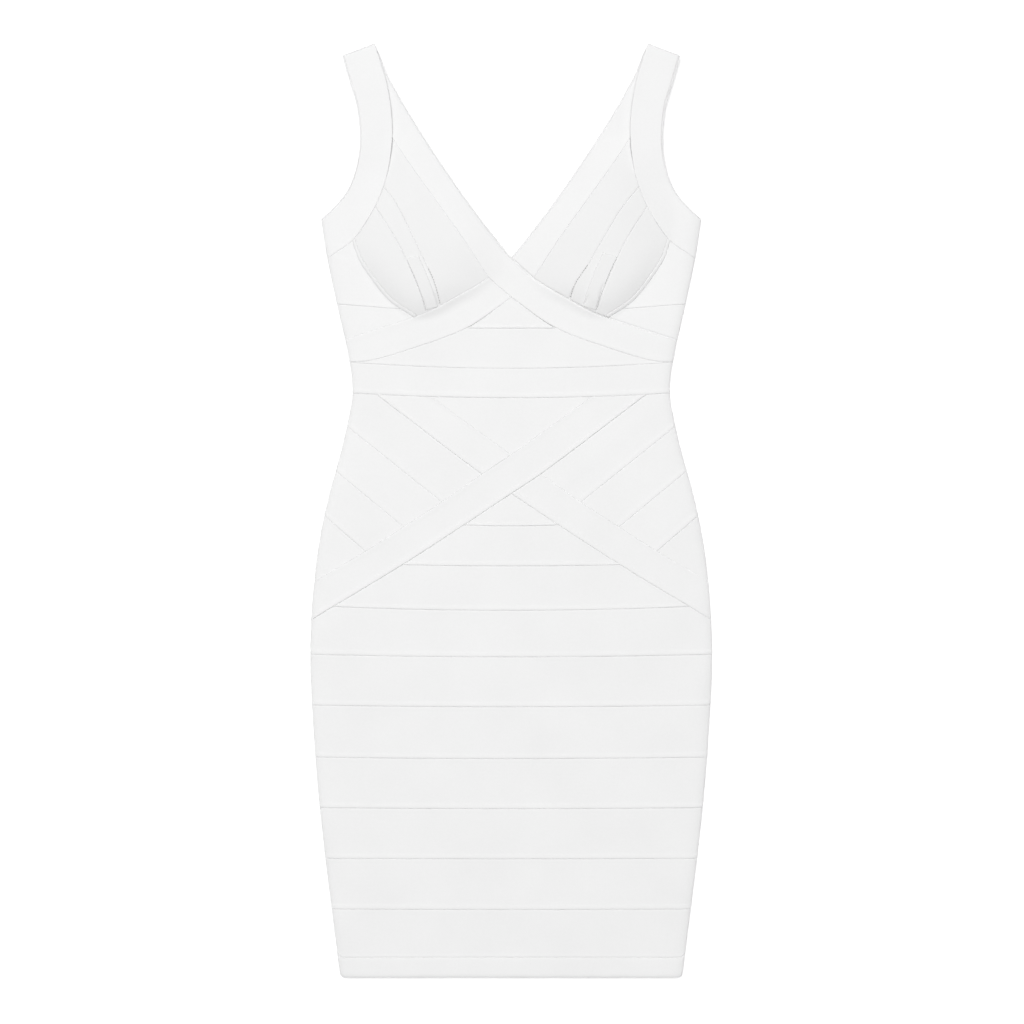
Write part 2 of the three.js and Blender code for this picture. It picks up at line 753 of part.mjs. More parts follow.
function hipBands() {
  const { left, right } = seams;
  const over = { top: left.crossTop, bottom: left.crossBottom };
  const under = { top: right.crossTop, bottom: right.crossBottom };
  strip("cross_band_over", over.top, over.bottom, MIDDLE_STEP, {
    rows: weltRows(OVERLAP_RAISE),
    endFold: true,
    start: across(WAIST_BOTTOM, first(over.top).x, first(over.bottom).x),
    end: fold(-1, last(crossTop).y, last(crossBottom).y),
  });
  const crossing = at(0, HIP_CROSSING.topY);
  const leftFoot = at(-HIP_CROSSING.besideX, HIP_CROSSING.besideY);
  strip(
    "cross_band_under_upper",
    stretch(under.top, first(under.top), crossing),
    stretch(under.bottom, first(under.bottom), leftFoot),
    MIDDLE_STEP,
    {
      rows: weltRows(),
      start: across(WAIST_BOTTOM, first(under.top).x, first(under.bottom).x),
      end: stretch(over.top, crossing, leftFoot),
    },
  );
  const rightHead = at(HIP_CROSSING.besideX, HIP_CROSSING.besideY);
  const foot = at(0, HIP_CROSSING.bottomY);
  strip(
    "cross_band_under_lower",
    stretch(under.top, rightHead, last(under.top)),
    stretch(under.bottom, foot, last(under.bottom)),
    MIDDLE_STEP,
    {
      rows: weltRows(),
      endFold: true,
      start: stretch(over.bottom, rightHead, foot),
      end: fold(1, last(crossTop).y, last(crossBottom).y),
    },
  );
  const yokeHalf = -first(crossTop).x - YOKE_END_SETBACK;
  const columns = 5;
  const yokeEnd = (sign) => at(sign * yokeHalf, level(WAIST_BOTTOM, yokeHalf));
  const yokeFoot = (top, sign) => stretch(top, yokeEnd(sign), crossing);
  const lower = joined(
    spaced(yokeFoot(under.top, -1), columns),
    spaced(yokeFoot(over.top, 1).reverse(), columns),
  );
  panel("yoke_triangle", lower.map((point) => at(point.x, level(WAIST_BOTTOM, point.x))), lower);
}

// Four diagonal bands on each side, from the waistband down to the hip bands
function diagonalBands() {
  for (const { name, sign } of sides) {
    const ownTop = seams[name].crossTop;
    const opposite = seams[name === "left" ? "right" : "left"].crossBottom;
    const fromSide = (row) => {
      const y = between(crossTop, "x", "y", row.crossX);
      const [start, end] = [at(sign * halfWidth(row.sideY), row.sideY), at(sign * row.crossX, y)];
      return straight(start, end);
    };
    const waistCorner = at(sign * WAIST_BOTTOM.half, WAIST_BOTTOM.end);
    const bandStart = first(opposite);
    const innerEnd = at(sign * HIP_CROSSING.besideX, HIP_CROSSING.besideY);
    const waistRun = across(WAIST_BOTTOM, waistCorner.x, bandStart.x);
    const bandRun = stretch(opposite, bandStart, innerEnd);
    const [fewColumns, manyColumns] = [2, 8];
    const seamList = diagonalSeams.map(fromSide);
    const upper = joined(spaced(waistRun, fewColumns), spaced(bandRun, manyColumns));
    panel(`diagonal_band_1_${name}`, upper, spaced(seamList[0], fewColumns + manyColumns), {
      rows: weltRows(),
      start: fold(sign, WAIST_BOTTOM.end, diagonalSeams[0].sideY),
      end: stretch(ownTop, innerEnd, last(seamList[0])),
    });
    for (let k = 1; k < seamList.length; k += 1) {
      strip(`diagonal_band_${k + 1}_${name}`, seamList[k - 1], seamList[k], MIDDLE_STEP, {
        rows: weltRows(),
        startFold: true,
        start: fold(sign, diagonalSeams[k - 1].sideY, diagonalSeams[k].sideY),
        end: stretch(ownTop, last(seamList[k - 1]), last(seamList[k])),
      });
    }
    const lowest = last(diagonalSeams);
    const hipRun = stretch(ownTop, last(last(seamList)), at(sign * HIP_FOLD_TIP.x, HIP_FOLD_TIP.y));
    strip(`diagonal_band_4_${name}`, hipRun, fold(sign, lowest.sideY, HIP_FOLD_TIP.foldY), MIDDLE_STEP, {
      rows: lowerFoldRows,
      start: last(seamList).slice().reverse(),
    });
  }
}

function skirt() {
  const { left, right } = seams;
  const edgeAt = (side, seam) => at(side * seam.half, seam.end);
  const crossing = at(0, HIP_CROSSING.bottomY - CENTRE_TIP_DEPTH);
  const topLeft = stretch(left.crossBottom, crossing, edgeAt(-1, centreSeams[0]));
  const topRight = stretch(right.crossBottom, crossing, edgeAt(1, centreSeams[0]));
  strip("centre_band_1", topLeft, topRight, MIDDLE_STEP, {
    rows: middleRows(2),
    end: across(centreSeams[0], last(topLeft).x, last(topRight).x),
  });
  for (let k = 1; k < centreSeams.length; k += 1) {
    const [above, below] = [centreSeams[k - 1], centreSeams[k]];
    const flank = (side, sign) => stretch(seams[side].crossBottom, edgeAt(sign, above), edgeAt(sign, below));
    const flanks = { start: flank("left", -1), end: flank("right", 1) };
    const columns = 4 + 4 * k;
    const upper = spaced(across(above, first(flanks.start).x, first(flanks.end).x), columns);
    const lower = spaced(across(below, last(flanks.start).x, last(flanks.end).x), columns);
    panel(`centre_band_${k + 1}`, upper, lower, { rows: weltRows(), ...flanks });
  }
  const above = last(centreSeams);
  const below = skirtSeams[0];
  const bandFoot = (seam, sign) => stretch(seam.crossBottom, edgeAt(sign, above), last(seam.crossBottom));
  const [leftFoot, rightFoot] = [bandFoot(left, -1), bandFoot(right, 1)];
  const [footColumns, middleColumns] = [4, 12];
  const upper = joined(
    spaced(leftFoot.slice().reverse(), footColumns),
    spaced(across(above, first(leftFoot).x, first(rightFoot).x), middleColumns),
    spaced(rightFoot, footColumns),
  );
  const spread = below.half / last(upper).x;
  const lower = upper.map((point) => at(point.x * spread, level(below, point.x * spread)));
  const footY = last(crossBottom).y;
  panel("skirt_band_1", upper, lower, {
    rows: weltRows(),
    start: fold(-1, footY, below.end),
    end: fold(1, footY, below.end),
  });
  for (let k = 1; k < skirtSeams.length; k += 1) {
    const [upperSeam, lowerSeam] = [skirtSeams[k - 1], skirtSeams[k]];
    const isHem = k === skirtSeams.length - 1;
    const hemRows = [
      { share: 0 },
      { fromLower: HEM_DEPTH + 2 * WELT_SLOPE },
      { fromLower: HEM_DEPTH, raise: HEM_RAISE },
      { share: 1, raise: HEM_RAISE },
    ];
    panel(`skirt_band_${k + 1}`, ...levelPair(upperSeam, lowerSeam), {
      rows: isHem ? hemRows : weltRows(),
      start: fold(-1, upperSeam.end, lowerSeam.end),
      end: fold(1, upperSeam.end, lowerSeam.end),
    });
  }
}

// The back repeats the outline a setback inside the front, with straight level seams
function backPieces() {
  const plain = { wall: backWall, colour: cloth.back };
  const setBack = (points, sign) => points.map((point) => at(point.x - sign * BACK_SETBACK, point.y));
  const backFold = (sign, fromY, toY) => setBack(fold(sign, fromY, toY), sign);
  for (const { name, sign } of sides) {
    const seam = seams[name];
    strip(`back_armhole_band_${name}`, setBack(seam.armholeEdge, sign), seam.armholeSeam, FINE_STEP, plain);
  }
  const { left, right } = seams;
  const tip = (sign) => at(sign * neckSeam[3].x, neckSeam[3].y);
  const strapEnd = (sign) => at(sign * BACK_NECK_TOP.x, BACK_NECK_TOP.y);
  const edgeOf = (seam, sign) => stretch(seam.neckline, strapEnd(sign), last(seam.neckline))
    .map((point) => at(point.x, point.y - BACK_NECK_SETBACK));
  const neckFoot = (seam, sign) => joined(
    stretch(seam.neckSeam, tip(sign), last(seam.neckSeam)),
    straight(last(seam.neckSeam), at(NECK_CROSSING.x, NECK_CROSSING.y)),
  );
  const strapRun = (seam, sign) => stretch(seam.armholeSeam, strapEnd(sign), tip(sign));
  const seamOf = (seam, sign) => joined(strapRun(seam, sign), neckFoot(seam, sign));
  for (const { name, sign } of sides) {
    const seam = seams[name];
    strip(`back_neck_band_${name}`, edgeOf(seam, sign), seamOf(seam, sign), FINE_STEP, plain);
  }
  const halfBodice = (seam, sign) => joined(
    spaced(stretch(seam.armholeSeam, last(seam.armholeSeam), tip(sign)), BODICE_COLUMNS),
    spaced(neckFoot(seam, sign), BODICE_COLUMNS),
  );
  const bodiceTop = joined(halfBodice(left, -1), halfBodice(right, 1).reverse());
  const waistHalf = WAIST_TOP.half - BACK_SETBACK;
  const waistLine = straight(at(-waistHalf, WAIST_TOP.end), at(waistHalf, WAIST_TOP.end));
  const bodiceFoot = spaced(waistLine, 4 * BODICE_COLUMNS);
  panel("back_bodice", bodiceTop, bodiceFoot, plain);
  const heights = [WAIST_TOP.end, WAIST_BOTTOM.end, ...skirtSeams.map((seam) => seam.end)];
  const lowerNames = skirtSeams.slice(1).map((_, k) => `back_skirt_band_${k + 2}`);
  const names = ["back_waistband", "back_hip", ...lowerNames];
  names.forEach((name, k) => {
    const [upperY, lowerY] = [heights[k], heights[k + 1]];
    const columns = Math.max(2, Math.ceil((upperY - lowerY) / PLAIN_STEP));
    panel(name, spaced(backFold(-1, upperY, lowerY), columns), spaced(backFold(1, upperY, lowerY), columns), {
      ...plain,
      rows: backFoldRows,
    });
  });
}

armholeBands();
neckBands();
cups();
sidePanels();
midriffAndWaist();
hipBands();
diagonalBands();
skirt();
backPieces();

export default dress;
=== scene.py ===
from math import ceil, pi, radians

import bpy
import bmesh
import numpy as np
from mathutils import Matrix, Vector


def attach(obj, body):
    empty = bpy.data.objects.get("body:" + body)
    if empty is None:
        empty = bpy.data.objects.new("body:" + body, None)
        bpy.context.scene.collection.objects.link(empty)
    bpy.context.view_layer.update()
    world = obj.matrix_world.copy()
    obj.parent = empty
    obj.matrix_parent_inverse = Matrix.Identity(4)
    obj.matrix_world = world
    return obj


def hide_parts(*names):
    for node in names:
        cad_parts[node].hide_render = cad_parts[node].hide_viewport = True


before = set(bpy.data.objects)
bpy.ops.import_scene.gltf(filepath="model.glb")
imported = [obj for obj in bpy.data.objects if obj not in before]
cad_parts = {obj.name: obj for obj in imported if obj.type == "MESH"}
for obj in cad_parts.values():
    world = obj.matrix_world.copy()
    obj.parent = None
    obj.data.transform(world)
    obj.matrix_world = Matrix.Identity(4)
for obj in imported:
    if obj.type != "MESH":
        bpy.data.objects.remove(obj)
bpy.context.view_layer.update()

# A sleeveless bodycon dress of bandage-knit strips, lying flat on its back.
# Plan sizes and heights are in millimetres, and each finished mesh is brought to metres.
# Left is -X and right is +X, with the shoulders towards +Y.
MM = 0.001


# The back of the dress: plain knit strips with straight level seams, sewn edge to edge like the front.
# It lies under the front and carries it, and rolls up at both sides to meet it in a soft fold.
WALL = 2.2
LAYER_GAP = 0.3
BACK_TOP = WALL
FRONT_BOTTOM = BACK_TOP + LAYER_GAP
FRONT_TOP = FRONT_BOTTOM + WALL
BACK_FOLD_HEIGHT = 1.2
BACK_FOLD_WIDTH = 5.5
BACK_SETBACK = 1.8
CORNER_FADE = 14
HEM_ROUND = 4.5
BACK_EDGE_DIP = 0.2
BACK_NECK_SETBACK = 1.5
BACK_NECK_TOP = (121.5, 418)
SAMPLE_STEP = 0.4
END_STEPS = 6
LEAST_THICKNESS = 0.35
LEAST_WIDTH = 0.02
TABLE_GAP = 0.05

# Half width of the dress at each height, from the underarm corner to the hem
SIDE_LINE = [
    (281, 183.3), (243, 177.3), (193, 166.6), (155, 158.0), (128, 153.6), (112, 153.0), (97, 155.0),
    (58, 163.7), (20, 174.3), (-19, 183.0), (-57, 188.7), (-96, 192.1), (-134, 193.6), (-173, 192.7),
    (-250, 187.8), (-327, 180.1), (-404, 170.5), (-450, 164.7),
]

# Seams of one half, as distance from the centre line and height
NECKLINE = [
    (131.6, 449.7), (125.4, 436), (119.2, 420.4), (111.0, 405), (102.3, 389.6), (73.4, 343.4),
    (41.7, 297.2), (24.3, 274.1), (6.0, 251.0), (0, 244.2),
]
NECK_SEAM = [
    (156.2, 439.7), (145.7, 412.8), (132.2, 389.6), (113.9, 357.9), (89.8, 322.2), (72.5, 298.1),
    (45.0, 259.6), (21.9, 224.4),
]
ARMHOLE_EDGE = [
    (162.6, 438.1), (155.3, 412.8), (148.5, 389.6), (145.6, 362.7), (146.6, 343.4), (152.4, 320.3),
    (160.1, 304.9), (173.6, 289.5), (183.3, 281),
]
ARMHOLE_SEAM = [
    (131.6, 450), (124.8, 428.4), (120.6, 414.7), (116.3, 391.6), (114.6, 371), (115.0, 352),
    (118.4, 328.0), (122.9, 311.6), (130.8, 292.8), (151.9, 261.2), (177.3, 243),
]
NECK_CROSSING = (0, 205.5)

# Level seams: height in the middle and at the given half width
WAIST_TOP = (137.0, 143.1, 155.7)
WAIST_BOTTOM = (108.5, 113.2, 153.1)
SKIRT_SEAMS = [
    (-141.0, -138.5, 193.4), (-189.1, -187.4, 191.9), (-239.0, -237.5, 188.8), (-287.2, -286.2, 184.3),
    (-335.5, -335.1, 179.2), (-384.3, -383.8, 173.0), (-450.0, -450.0, 164.7),
]

# How a strip ends at each kind of edge: distance from the seam into the strip, and height over its face.
# A tuck lies under its neighbour, a join is a plain seam, and a free edge is turned in and stitched.
# A fold has close places for the roll at the side, and a plain edge is cut square.
EDGES = {
    "tuck": [(-1.5, -1.6), (-0.5, -1.2), (-0.1, -0.75), (0.12, -0.3), (0.35, -0.05), (0.9, 0.06), (1.8, 0.07),
             (3.0, 0)],
    "join": [(0, -0.5), (0.25, -0.26), (0.7, -0.08), (1.4, 0.03), (2.6, 0)],
    "free": [(0, -1.75), (0.12, -1.2), (0.3, -0.85), (0.5, -0.85), (0.7, -1.2), (0.9, -1.5), (1.1, -1.2),
             (1.35, -0.6), (1.8, -0.22), (2.7, -0.05), (4.5, 0)],
    "fold": [(0, 0), (0.06, 0), (0.25, 0), (0.6, 0), (1.1, 0), (1.9, 0), (3.0, 0), (4.4, 0), (6.0, 0),
             (8.0, 0)],
    "plain": [(0, 0), (1.5, 0)],
}
CELL = 3.6
BACK_CELL = 7
END_FADE = 45
EDGE_SHARE = 0.9
LEAN_PROBE = 0.06
LEAST_LEAN = 0.35
EDGE_UNEVENNESS = 0.16
EDGE_RIPPLE_SCALE = 2.3
DEEPEST_EDGE = -1.9
WELD_DISTANCE = 0.00004
COLLAPSE_DISTANCE = 0.00002
SHARP_ANGLE = 52

# Slow ripples of the cloth: length across and along the dress, and phase
RIPPLES = [(31, 57, 0.6), (17.3, -24.1, 2.1), (53, -13.7, 4.0), (11.9, 71, 1.2)]


def between(rows, values):
    """A smooth value between the rows of a table, with the slope taken from the neighbouring rows."""
    places, levels = np.array(sorted(rows), float).T
    middle = (levels[2:] - levels[:-2]) / (places[2:] - places[:-2])
    ends = [(levels[k + 1] - levels[k]) / (places[k + 1] - places[k]) for k in (0, len(rows) - 2)]
    slopes = np.concatenate([ends[:1], middle, ends[1:]])
    k = np.clip(np.searchsorted(places, values, side="right") - 1, 0, len(rows) - 2)
    span = places[k + 1] - places[k]
    t = np.clip((values - places[k]) / span, 0, 1)
    ease = t * (1 - t) * span * ((1 - t) * slopes[k] - t * slopes[k + 1])
    return levels[k] + (levels[k + 1] - levels[k]) * t * t * (3 - 2 * t) + ease


def half_width(y):
    return between(SIDE_LINE, np.clip(y, SIDE_LINE[-1][0], SIDE_LINE[0][0]))


def level(seam, x):
    middle, end, half = seam
    return middle + (end - middle) * (x / half) ** 2


def chain(rows, side=1):
    """A seam as closely spaced plan points on a smooth curve; side is -1 on the left half."""
    points = np.array([(x * side, y) for x, y in rows], float)
    control = np.vstack([2 * points[0] - points[1], points, 2 * points[-1] - points[-2]])
    runs = []
    for p0, p1, p2, p3 in zip(control, control[1:], control[2:], control[3:]):
        d0, d1, d2 = (np.sqrt(np.linalg.norm(b - a)) for a, b in ((p0, p1), (p1, p2), (p2, p3)))
        start = ((p1 - p0) / d0 - (p2 - p0) / (d0 + d1) + (p2 - p1) / d1) * d1
        end = ((p2 - p1) / d1 - (p3 - p1) / (d1 + d2) + (p3 - p2) / d2) * d1
        t = np.linspace(0, 1, max(2, ceil(np.linalg.norm(p2 - p1) / SAMPLE_STEP)) + 1)[:-1, None]
        square, cube = t ** 2, t ** 3
        runs.append(p1 + start * t + (3 * (p2 - p1) - 2 * start - end) * square
                    + (start + end - 2 * (p2 - p1)) * cube)
    return np.vstack(runs + [points[-1:]])


def fold_line(side, from_y, to_y, setback=0):
    y = np.linspace(from_y, to_y, max(3, ceil(abs(to_y - from_y) / SAMPLE_STEP)))
    return np.column_stack([side * (half_width(y) - setback), y])


def level_line(seam, from_x, to_x):
    x = np.linspace(from_x, to_x, max(3, ceil(abs(to_x - from_x) / SAMPLE_STEP)))
    return np.column_stack([x, level(seam, x)])


def hem_line(half, y):
    """The hem with its corners rounded."""
    x = np.linspace(-half, half, ceil(2 * half / SAMPLE_STEP))
    past = np.maximum(np.abs(x) - (half - HEM_ROUND), 0)
    return np.column_stack([x, y + HEM_ROUND - np.sqrt(HEM_ROUND ** 2 - past ** 2)])


def straight(start, end):
    count = max(3, ceil(np.hypot(end[0] - start[0], end[1] - start[1]) / SAMPLE_STEP))
    return np.linspace(start, end, count).astype(float)


def nearest(points, target):
    return int(np.argmin(((points - np.asarray(target)) ** 2).sum(axis=1)))


def stretch(points, start, end):
    """The stretch of a chain between the places nearest to two plan points."""
    a, b = nearest(points, start), nearest(points, end)
    return points[a:b + 1] if a <= b else points[b:a + 1][::-1]


def joined(*runs):
    return np.vstack([runs[0]] + [run[1:] for run in runs[1:]])


def length_of(points):
    return float(np.hypot(*np.diff(points, axis=0).T).sum())


def placed(points, shares):
    """Points at shares of a chain's length; a share past an end goes on straight."""
    steps = np.hypot(*np.diff(points, axis=0).T)
    keep = np.concatenate([[True], steps > 1e-6])
    points = points[keep]
    passed = np.concatenate([[0], np.cumsum(steps[steps > 1e-6])])
    wanted = np.asarray(shares, float) * passed[-1]
    found = np.column_stack([np.interp(wanted, passed, points[:, k]) for k in (0, 1)])
    reach = min(END_STEPS, len(points) - 1)
    for over, edge, inner in ((np.minimum(wanted, 0), 0, reach),
                              (np.maximum(wanted - passed[-1], 0), -1, -1 - reach)):
        away = points[edge] - points[inner]
        away /= np.linalg.norm(away)
        found += np.abs(over)[:, None] * away
    return found


def across_places(widths, first_kind, last_kind, step=CELL, leans=(1, 1)):
    """Places across each of the given widths, with each edge's own places and even steps between."""
    head = np.array([row[0] for row in EDGES[first_kind]]) / leans[0]
    tail = np.array([row[0] for row in EDGES[last_kind]])[::-1] / leans[1]
    widths = np.atleast_1d(widths)[:, None]
    squeeze = np.minimum(1, EDGE_SHARE * widths / (head[-1] + tail[0]))
    starts, ends = head * squeeze, widths - tail * squeeze
    count = max(1, ceil(float((ends[:, 0] - starts[:, -1]).max()) / step))
    shares = np.linspace(0, 1, count + 1)[1:-1]
    middle = starts[:, -1:] + (ends[:, :1] - starts[:, -1:]) * shares
    head_heights = [row[1] for row in EDGES[first_kind]]
    tail_heights = [row[1] for row in EDGES[last_kind]][::-1]
    heights = np.concatenate([head_heights, np.zeros(len(shares)), tail_heights])
    return np.hstack([starts, middle, ends]), heights


def fold_drop(x, y, width, depth):
    """How far the cloth drops as it rolls over the side fold."""
    inward = np.clip(half_width(y) - np.abs(x), 0, width)
    rise = np.clip((y - SIDE_LINE[0][0]) / CORNER_FADE, 0, 1)
    return depth * (1 - np.sqrt(1 - (1 - inward / width) ** 2)) * (1 - rise * rise * (3 - 2 * rise))


def ripple(x, y):
    """Slow unevenness of worn and pressed cloth, between about -1 and 1."""
    return sum(np.sin(x / across + y / along + phase) for across, along, phase in RIPPLES) / 3


def back_wall(x, y):
    """The back's upper face, and its underside rolling up at the sides."""
    under = fold_drop(x, y, BACK_FOLD_WIDTH, BACK_FOLD_HEIGHT - LEAST_THICKNESS - TABLE_GAP)
    return BACK_TOP - BACK_EDGE_DIP * (under > 0), under


def wall_mesh(name, grid, top, bottom, grain):
    """A closed wall over a grid of plan points, as a mesh in metres with its grain as the UV map."""
    columns, rows = grid.shape[:2]
    count = columns * rows
    spots = np.arange(count).reshape(columns, rows)
    plan = grid.reshape(count, 2)
    points = np.vstack([np.column_stack([plan, top.ravel()]), np.column_stack([plan, bottom.ravel()])])
    faces = [np.stack([spots[:-1, :-1], spots[1:, :-1], spots[1:, 1:], spots[:-1, 1:]], -1).reshape(-1, 4)]
    faces.append(faces[0][:, ::-1] + count)
    rim = np.concatenate([spots[:, 0], spots[-1, 1:], spots[-2::-1, -1], spots[0, -2:0:-1]])
    ahead = np.roll(rim, -1)
    faces.append(np.column_stack([ahead, rim, rim + count, ahead + count]))
    faces = np.vstack(faces)
    edge_a = grid[1:, :-1] - grid[:-1, :-1]
    edge_b = grid[:-1, 1:] - grid[:-1, :-1]
    if (edge_a[..., 0] * edge_b[..., 1] - edge_a[..., 1] * edge_b[..., 0]).sum() < 0:
        faces = faces[:, ::-1]
    mesh = bpy.data.meshes.new(name)
    mesh.from_pydata((points * MM).tolist(), [], faces.tolist())
    layer = mesh.uv_layers.new(name="grain")
    spread = np.vstack([grain.reshape(count, 2)] * 2) * MM
    layer.data.foreach_set("uv", spread[faces.ravel()].ravel())
    tidy = bmesh.new()
    tidy.from_mesh(mesh)
    bmesh.ops.remove_doubles(tidy, verts=tidy.verts, dist=WELD_DISTANCE)
    bmesh.ops.dissolve_degenerate(tidy, edges=tidy.edges, dist=COLLAPSE_DISTANCE)
    tidy.to_mesh(mesh)
    tidy.free()
    mesh.polygons.foreach_set("use_smooth", [True] * len(mesh.polygons))
    mesh.set_sharp_from_angle(angle=radians(SHARP_ANGLE))
    return mesh


def strip(name, upper, lower, edges, finish, start=None, end=None, wall=None, lift=0, grain="along",
          rests_on=(), step=CELL, under=False):
    """A strip of cloth between two seams, made from the table's surface up.

    edges names the kind of the upper, lower, start and end edge; start and end are chains from the
    upper to the lower seam, where an end isn't straight. under shapes the edges on the underside.
    """
    length = max(length_of(upper), length_of(lower))
    # An end that isn't square to the strip is seen at a lean, so its edge is spread along the strip
    leans = []
    for chain_end, share in ((start, 0), (end, 1)):
        a, b = placed(upper, [share])[0], placed(lower, [share])[0]
        edge_way = (chain_end[-1] - chain_end[0]) if chain_end is not None else b - a
        run = sum(placed(points, [min(share + LEAN_PROBE, 1)])[0]
                  - placed(points, [max(share - LEAN_PROBE, 0)])[0] for points in (upper, lower))
        sine = abs(run[0] * edge_way[1] - run[1] * edge_way[0])
        leans.append(max(sine / max(np.linalg.norm(run) * np.linalg.norm(edge_way), 1e-9), LEAST_LEAN))
    places, end_heights = across_places(length, edges[2], edges[3], step, leans)
    shares = places[0] / length
    top_line, bottom_line = placed(upper, shares), placed(lower, shares)
    widths = np.maximum(np.hypot(*(bottom_line - top_line).T), LEAST_WIDTH)
    rows, row_heights = across_places(widths, edges[0], edges[1], step)
    way = (bottom_line - top_line) / widths[:, None]
    grid = top_line[:, None] + way[:, None] * rows[..., None]
    reach = min(length, END_FADE)
    for chain_end, share, column in ((start, 0, 0), (end, 1, -1)):
        if chain_end is None:
            continue
        a, b = placed(upper, [share])[0], placed(lower, [share])[0]
        parts = np.clip(rows[column] / widths[column], 0, 1)
        moves = placed(chain_end, parts) - (a + (b - a) * parts[:, None])
        fade = np.clip(1 - np.abs(shares - share) * length / reach, 0, 1)
        fade[shares < 0 if share == 0 else shares > 1] = 1
        grid += fade[:, None, None] * moves
    x, y = grid[..., 0], grid[..., 1]
    face, inside = (wall or front_wall)(x, y)
    relief = row_heights + end_heights[:, None]
    relief = relief * (1 + EDGE_UNEVENNESS * ripple(x * EDGE_RIPPLE_SCALE, y * EDGE_RIPPLE_SCALE)) + lift
    if under:
        inside = np.minimum(inside - np.minimum(relief, 0), face - LEAST_THICKNESS)
    else:
        face = np.maximum(face + np.maximum(relief, DEEPEST_EDGE), LEAST_THICKNESS + TABLE_GAP)
        inside = np.minimum(inside, face - LEAST_THICKNESS)
    mesh = wall_mesh(name, grid, face, inside, grain_of(grain, grid, rows, places))
    piece = bpy.data.objects.new(name, mesh)
    bpy.context.collection.objects.link(piece)
    mesh.materials.append(finish)
    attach(piece, "root")
    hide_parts(name)


def grain_of(kind, grid, rows, places):
    """The knit's ribs run along the strip, or level across the dress."""
    if kind == "level":
        return grid.copy()
    along = np.broadcast_to(places[0][:, None], rows.shape)
    return np.dstack([along, rows])


def srgb(hex_colour):
    """An sRGB hex colour as linear RGBA."""
    parts = [int(hex_colour[k:k + 2], 16) / 255 for k in (1, 3, 5)]
    return [p / 12.92 if p <= 0.04045 else ((p + 0.055) / 1.055) ** 2.4 for p in parts] + [1]


def add(tree, kind, settings=None, **links):
    """Adds a node with its settings; a link is a value, or a node and the name of its output."""
    node = tree.nodes.new(kind)
    for key, value in (settings or {}).items():
        setattr(node, key, value)
    for key, value in links.items():
        socket = node.inputs[int(key[1:])] if key[0] == "i" and key[1:].isdigit() else node.inputs[
            key.replace("_", " ")]
        if isinstance(value, tuple) and isinstance(value[0], bpy.types.Node):
            tree.links.new(value[0].outputs[value[1]], socket)
        else:
            socket.default_value = value
    return node


# Bandage knit is a heavy rayon and elastane rib, knitted flat and steamed: matt, close and springy,
# with fine ribs along the strip and a faint mottle from the yarn.
# Repeats a metre: a speck about every 2 mm, coarser than real yarn so that it shows, mottle every 60 mm.
SPECKS_PER_METRE = 520.0
MOTTLE_PER_METRE = 17.0
LOOP_TO_RIB = 0.8
LOOP_SHARE = 0.25
FUZZ_SHARE = 0.9
MOTTLE_SHARE = 0.6
YARN_SHARE = 0.4


def knit(name, colour, shade, rib_mm, rib_depth, slot):
    material = bpy.data.materials.new(name)
    material.use_nodes = True
    material["slot"] = slot
    tree = material.node_tree
    tree.nodes.clear()
    place = add(tree, "ShaderNodeTexCoord")
    # A wave texture has one band every pi / 10 of its scale
    rib_scale = pi / 10 / (rib_mm * MM)
    ribs = add(tree, "ShaderNodeTexWave", {"wave_type": "BANDS", "bands_direction": "Y"},
               Vector=(place, "UV"), Scale=rib_scale, Distortion=0.6, Detail=1.0, Detail_Scale=0.6)
    loops = add(tree, "ShaderNodeTexWave", {"wave_type": "BANDS", "bands_direction": "X"},
                Vector=(place, "UV"), Scale=rib_scale * LOOP_TO_RIB, Distortion=1.5, Detail=1.0)
    yarn = add(tree, "ShaderNodeTexNoise", {}, Vector=(place, "Object"), Scale=SPECKS_PER_METRE,
               Detail=3.0)
    mottle = add(tree, "ShaderNodeTexNoise", {}, Vector=(place, "Object"), Scale=MOTTLE_PER_METRE,
                 Detail=3.0, Roughness=0.55)
    both = add(tree, "ShaderNodeMath", {"operation": "MULTIPLY_ADD"}, i0=(loops, "Fac"), i1=LOOP_SHARE,
               i2=(ribs, "Fac"))
    fuzz = add(tree, "ShaderNodeMath", {"operation": "MULTIPLY_ADD"}, i0=(yarn, "Fac"), i1=FUZZ_SHARE,
               i2=(both, "Value"))
    bump = add(tree, "ShaderNodeBump", {}, Strength=0.55, Distance=rib_depth * MM,
               Height=(fuzz, "Value"))
    patches = add(tree, "ShaderNodeMath", {"operation": "MULTIPLY"}, i0=(mottle, "Fac"),
                  i1=MOTTLE_SHARE)
    grain = add(tree, "ShaderNodeMath", {"operation": "MULTIPLY_ADD"}, i0=(yarn, "Fac"), i1=YARN_SHARE,
                i2=(patches, "Value"))
    blend = add(tree, "ShaderNodeMix", {"data_type": "RGBA"}, i0=(grain, "Value"), i6=srgb(colour),
                i7=srgb(shade))
    shader = add(tree, "ShaderNodeBsdfPrincipled", {}, Base_Color=(blend, 2), Roughness=0.86,
                 Normal=(bump, "Normal"))
    shader.inputs["Specular IOR Level"].default_value = 0.3
    shader.inputs["Sheen Weight"].default_value = 0.12
    shader.inputs["Sheen Roughness"].default_value = 0.5
    add(tree, "ShaderNodeOutputMaterial", {}, Surface=(shader, "BSDF"))
    return material


back_knit = knit("plain_bandage_knit", "#f2f2f2", "#e8e8e8", rib_mm=1.3, rib_depth=0.035,
                 slot="back_knit")

SIDES = (("left", -1), ("right", 1))
seams = {
    name: {
        "neckline": chain(NECKLINE, sign),
        "neck_seam": chain(NECK_SEAM, sign),
        "armhole_edge": chain(ARMHOLE_EDGE, sign),
        "armhole_seam": chain(ARMHOLE_SEAM, sign),
    }
    for name, sign in SIDES
}
left, right = seams["left"], seams["right"]


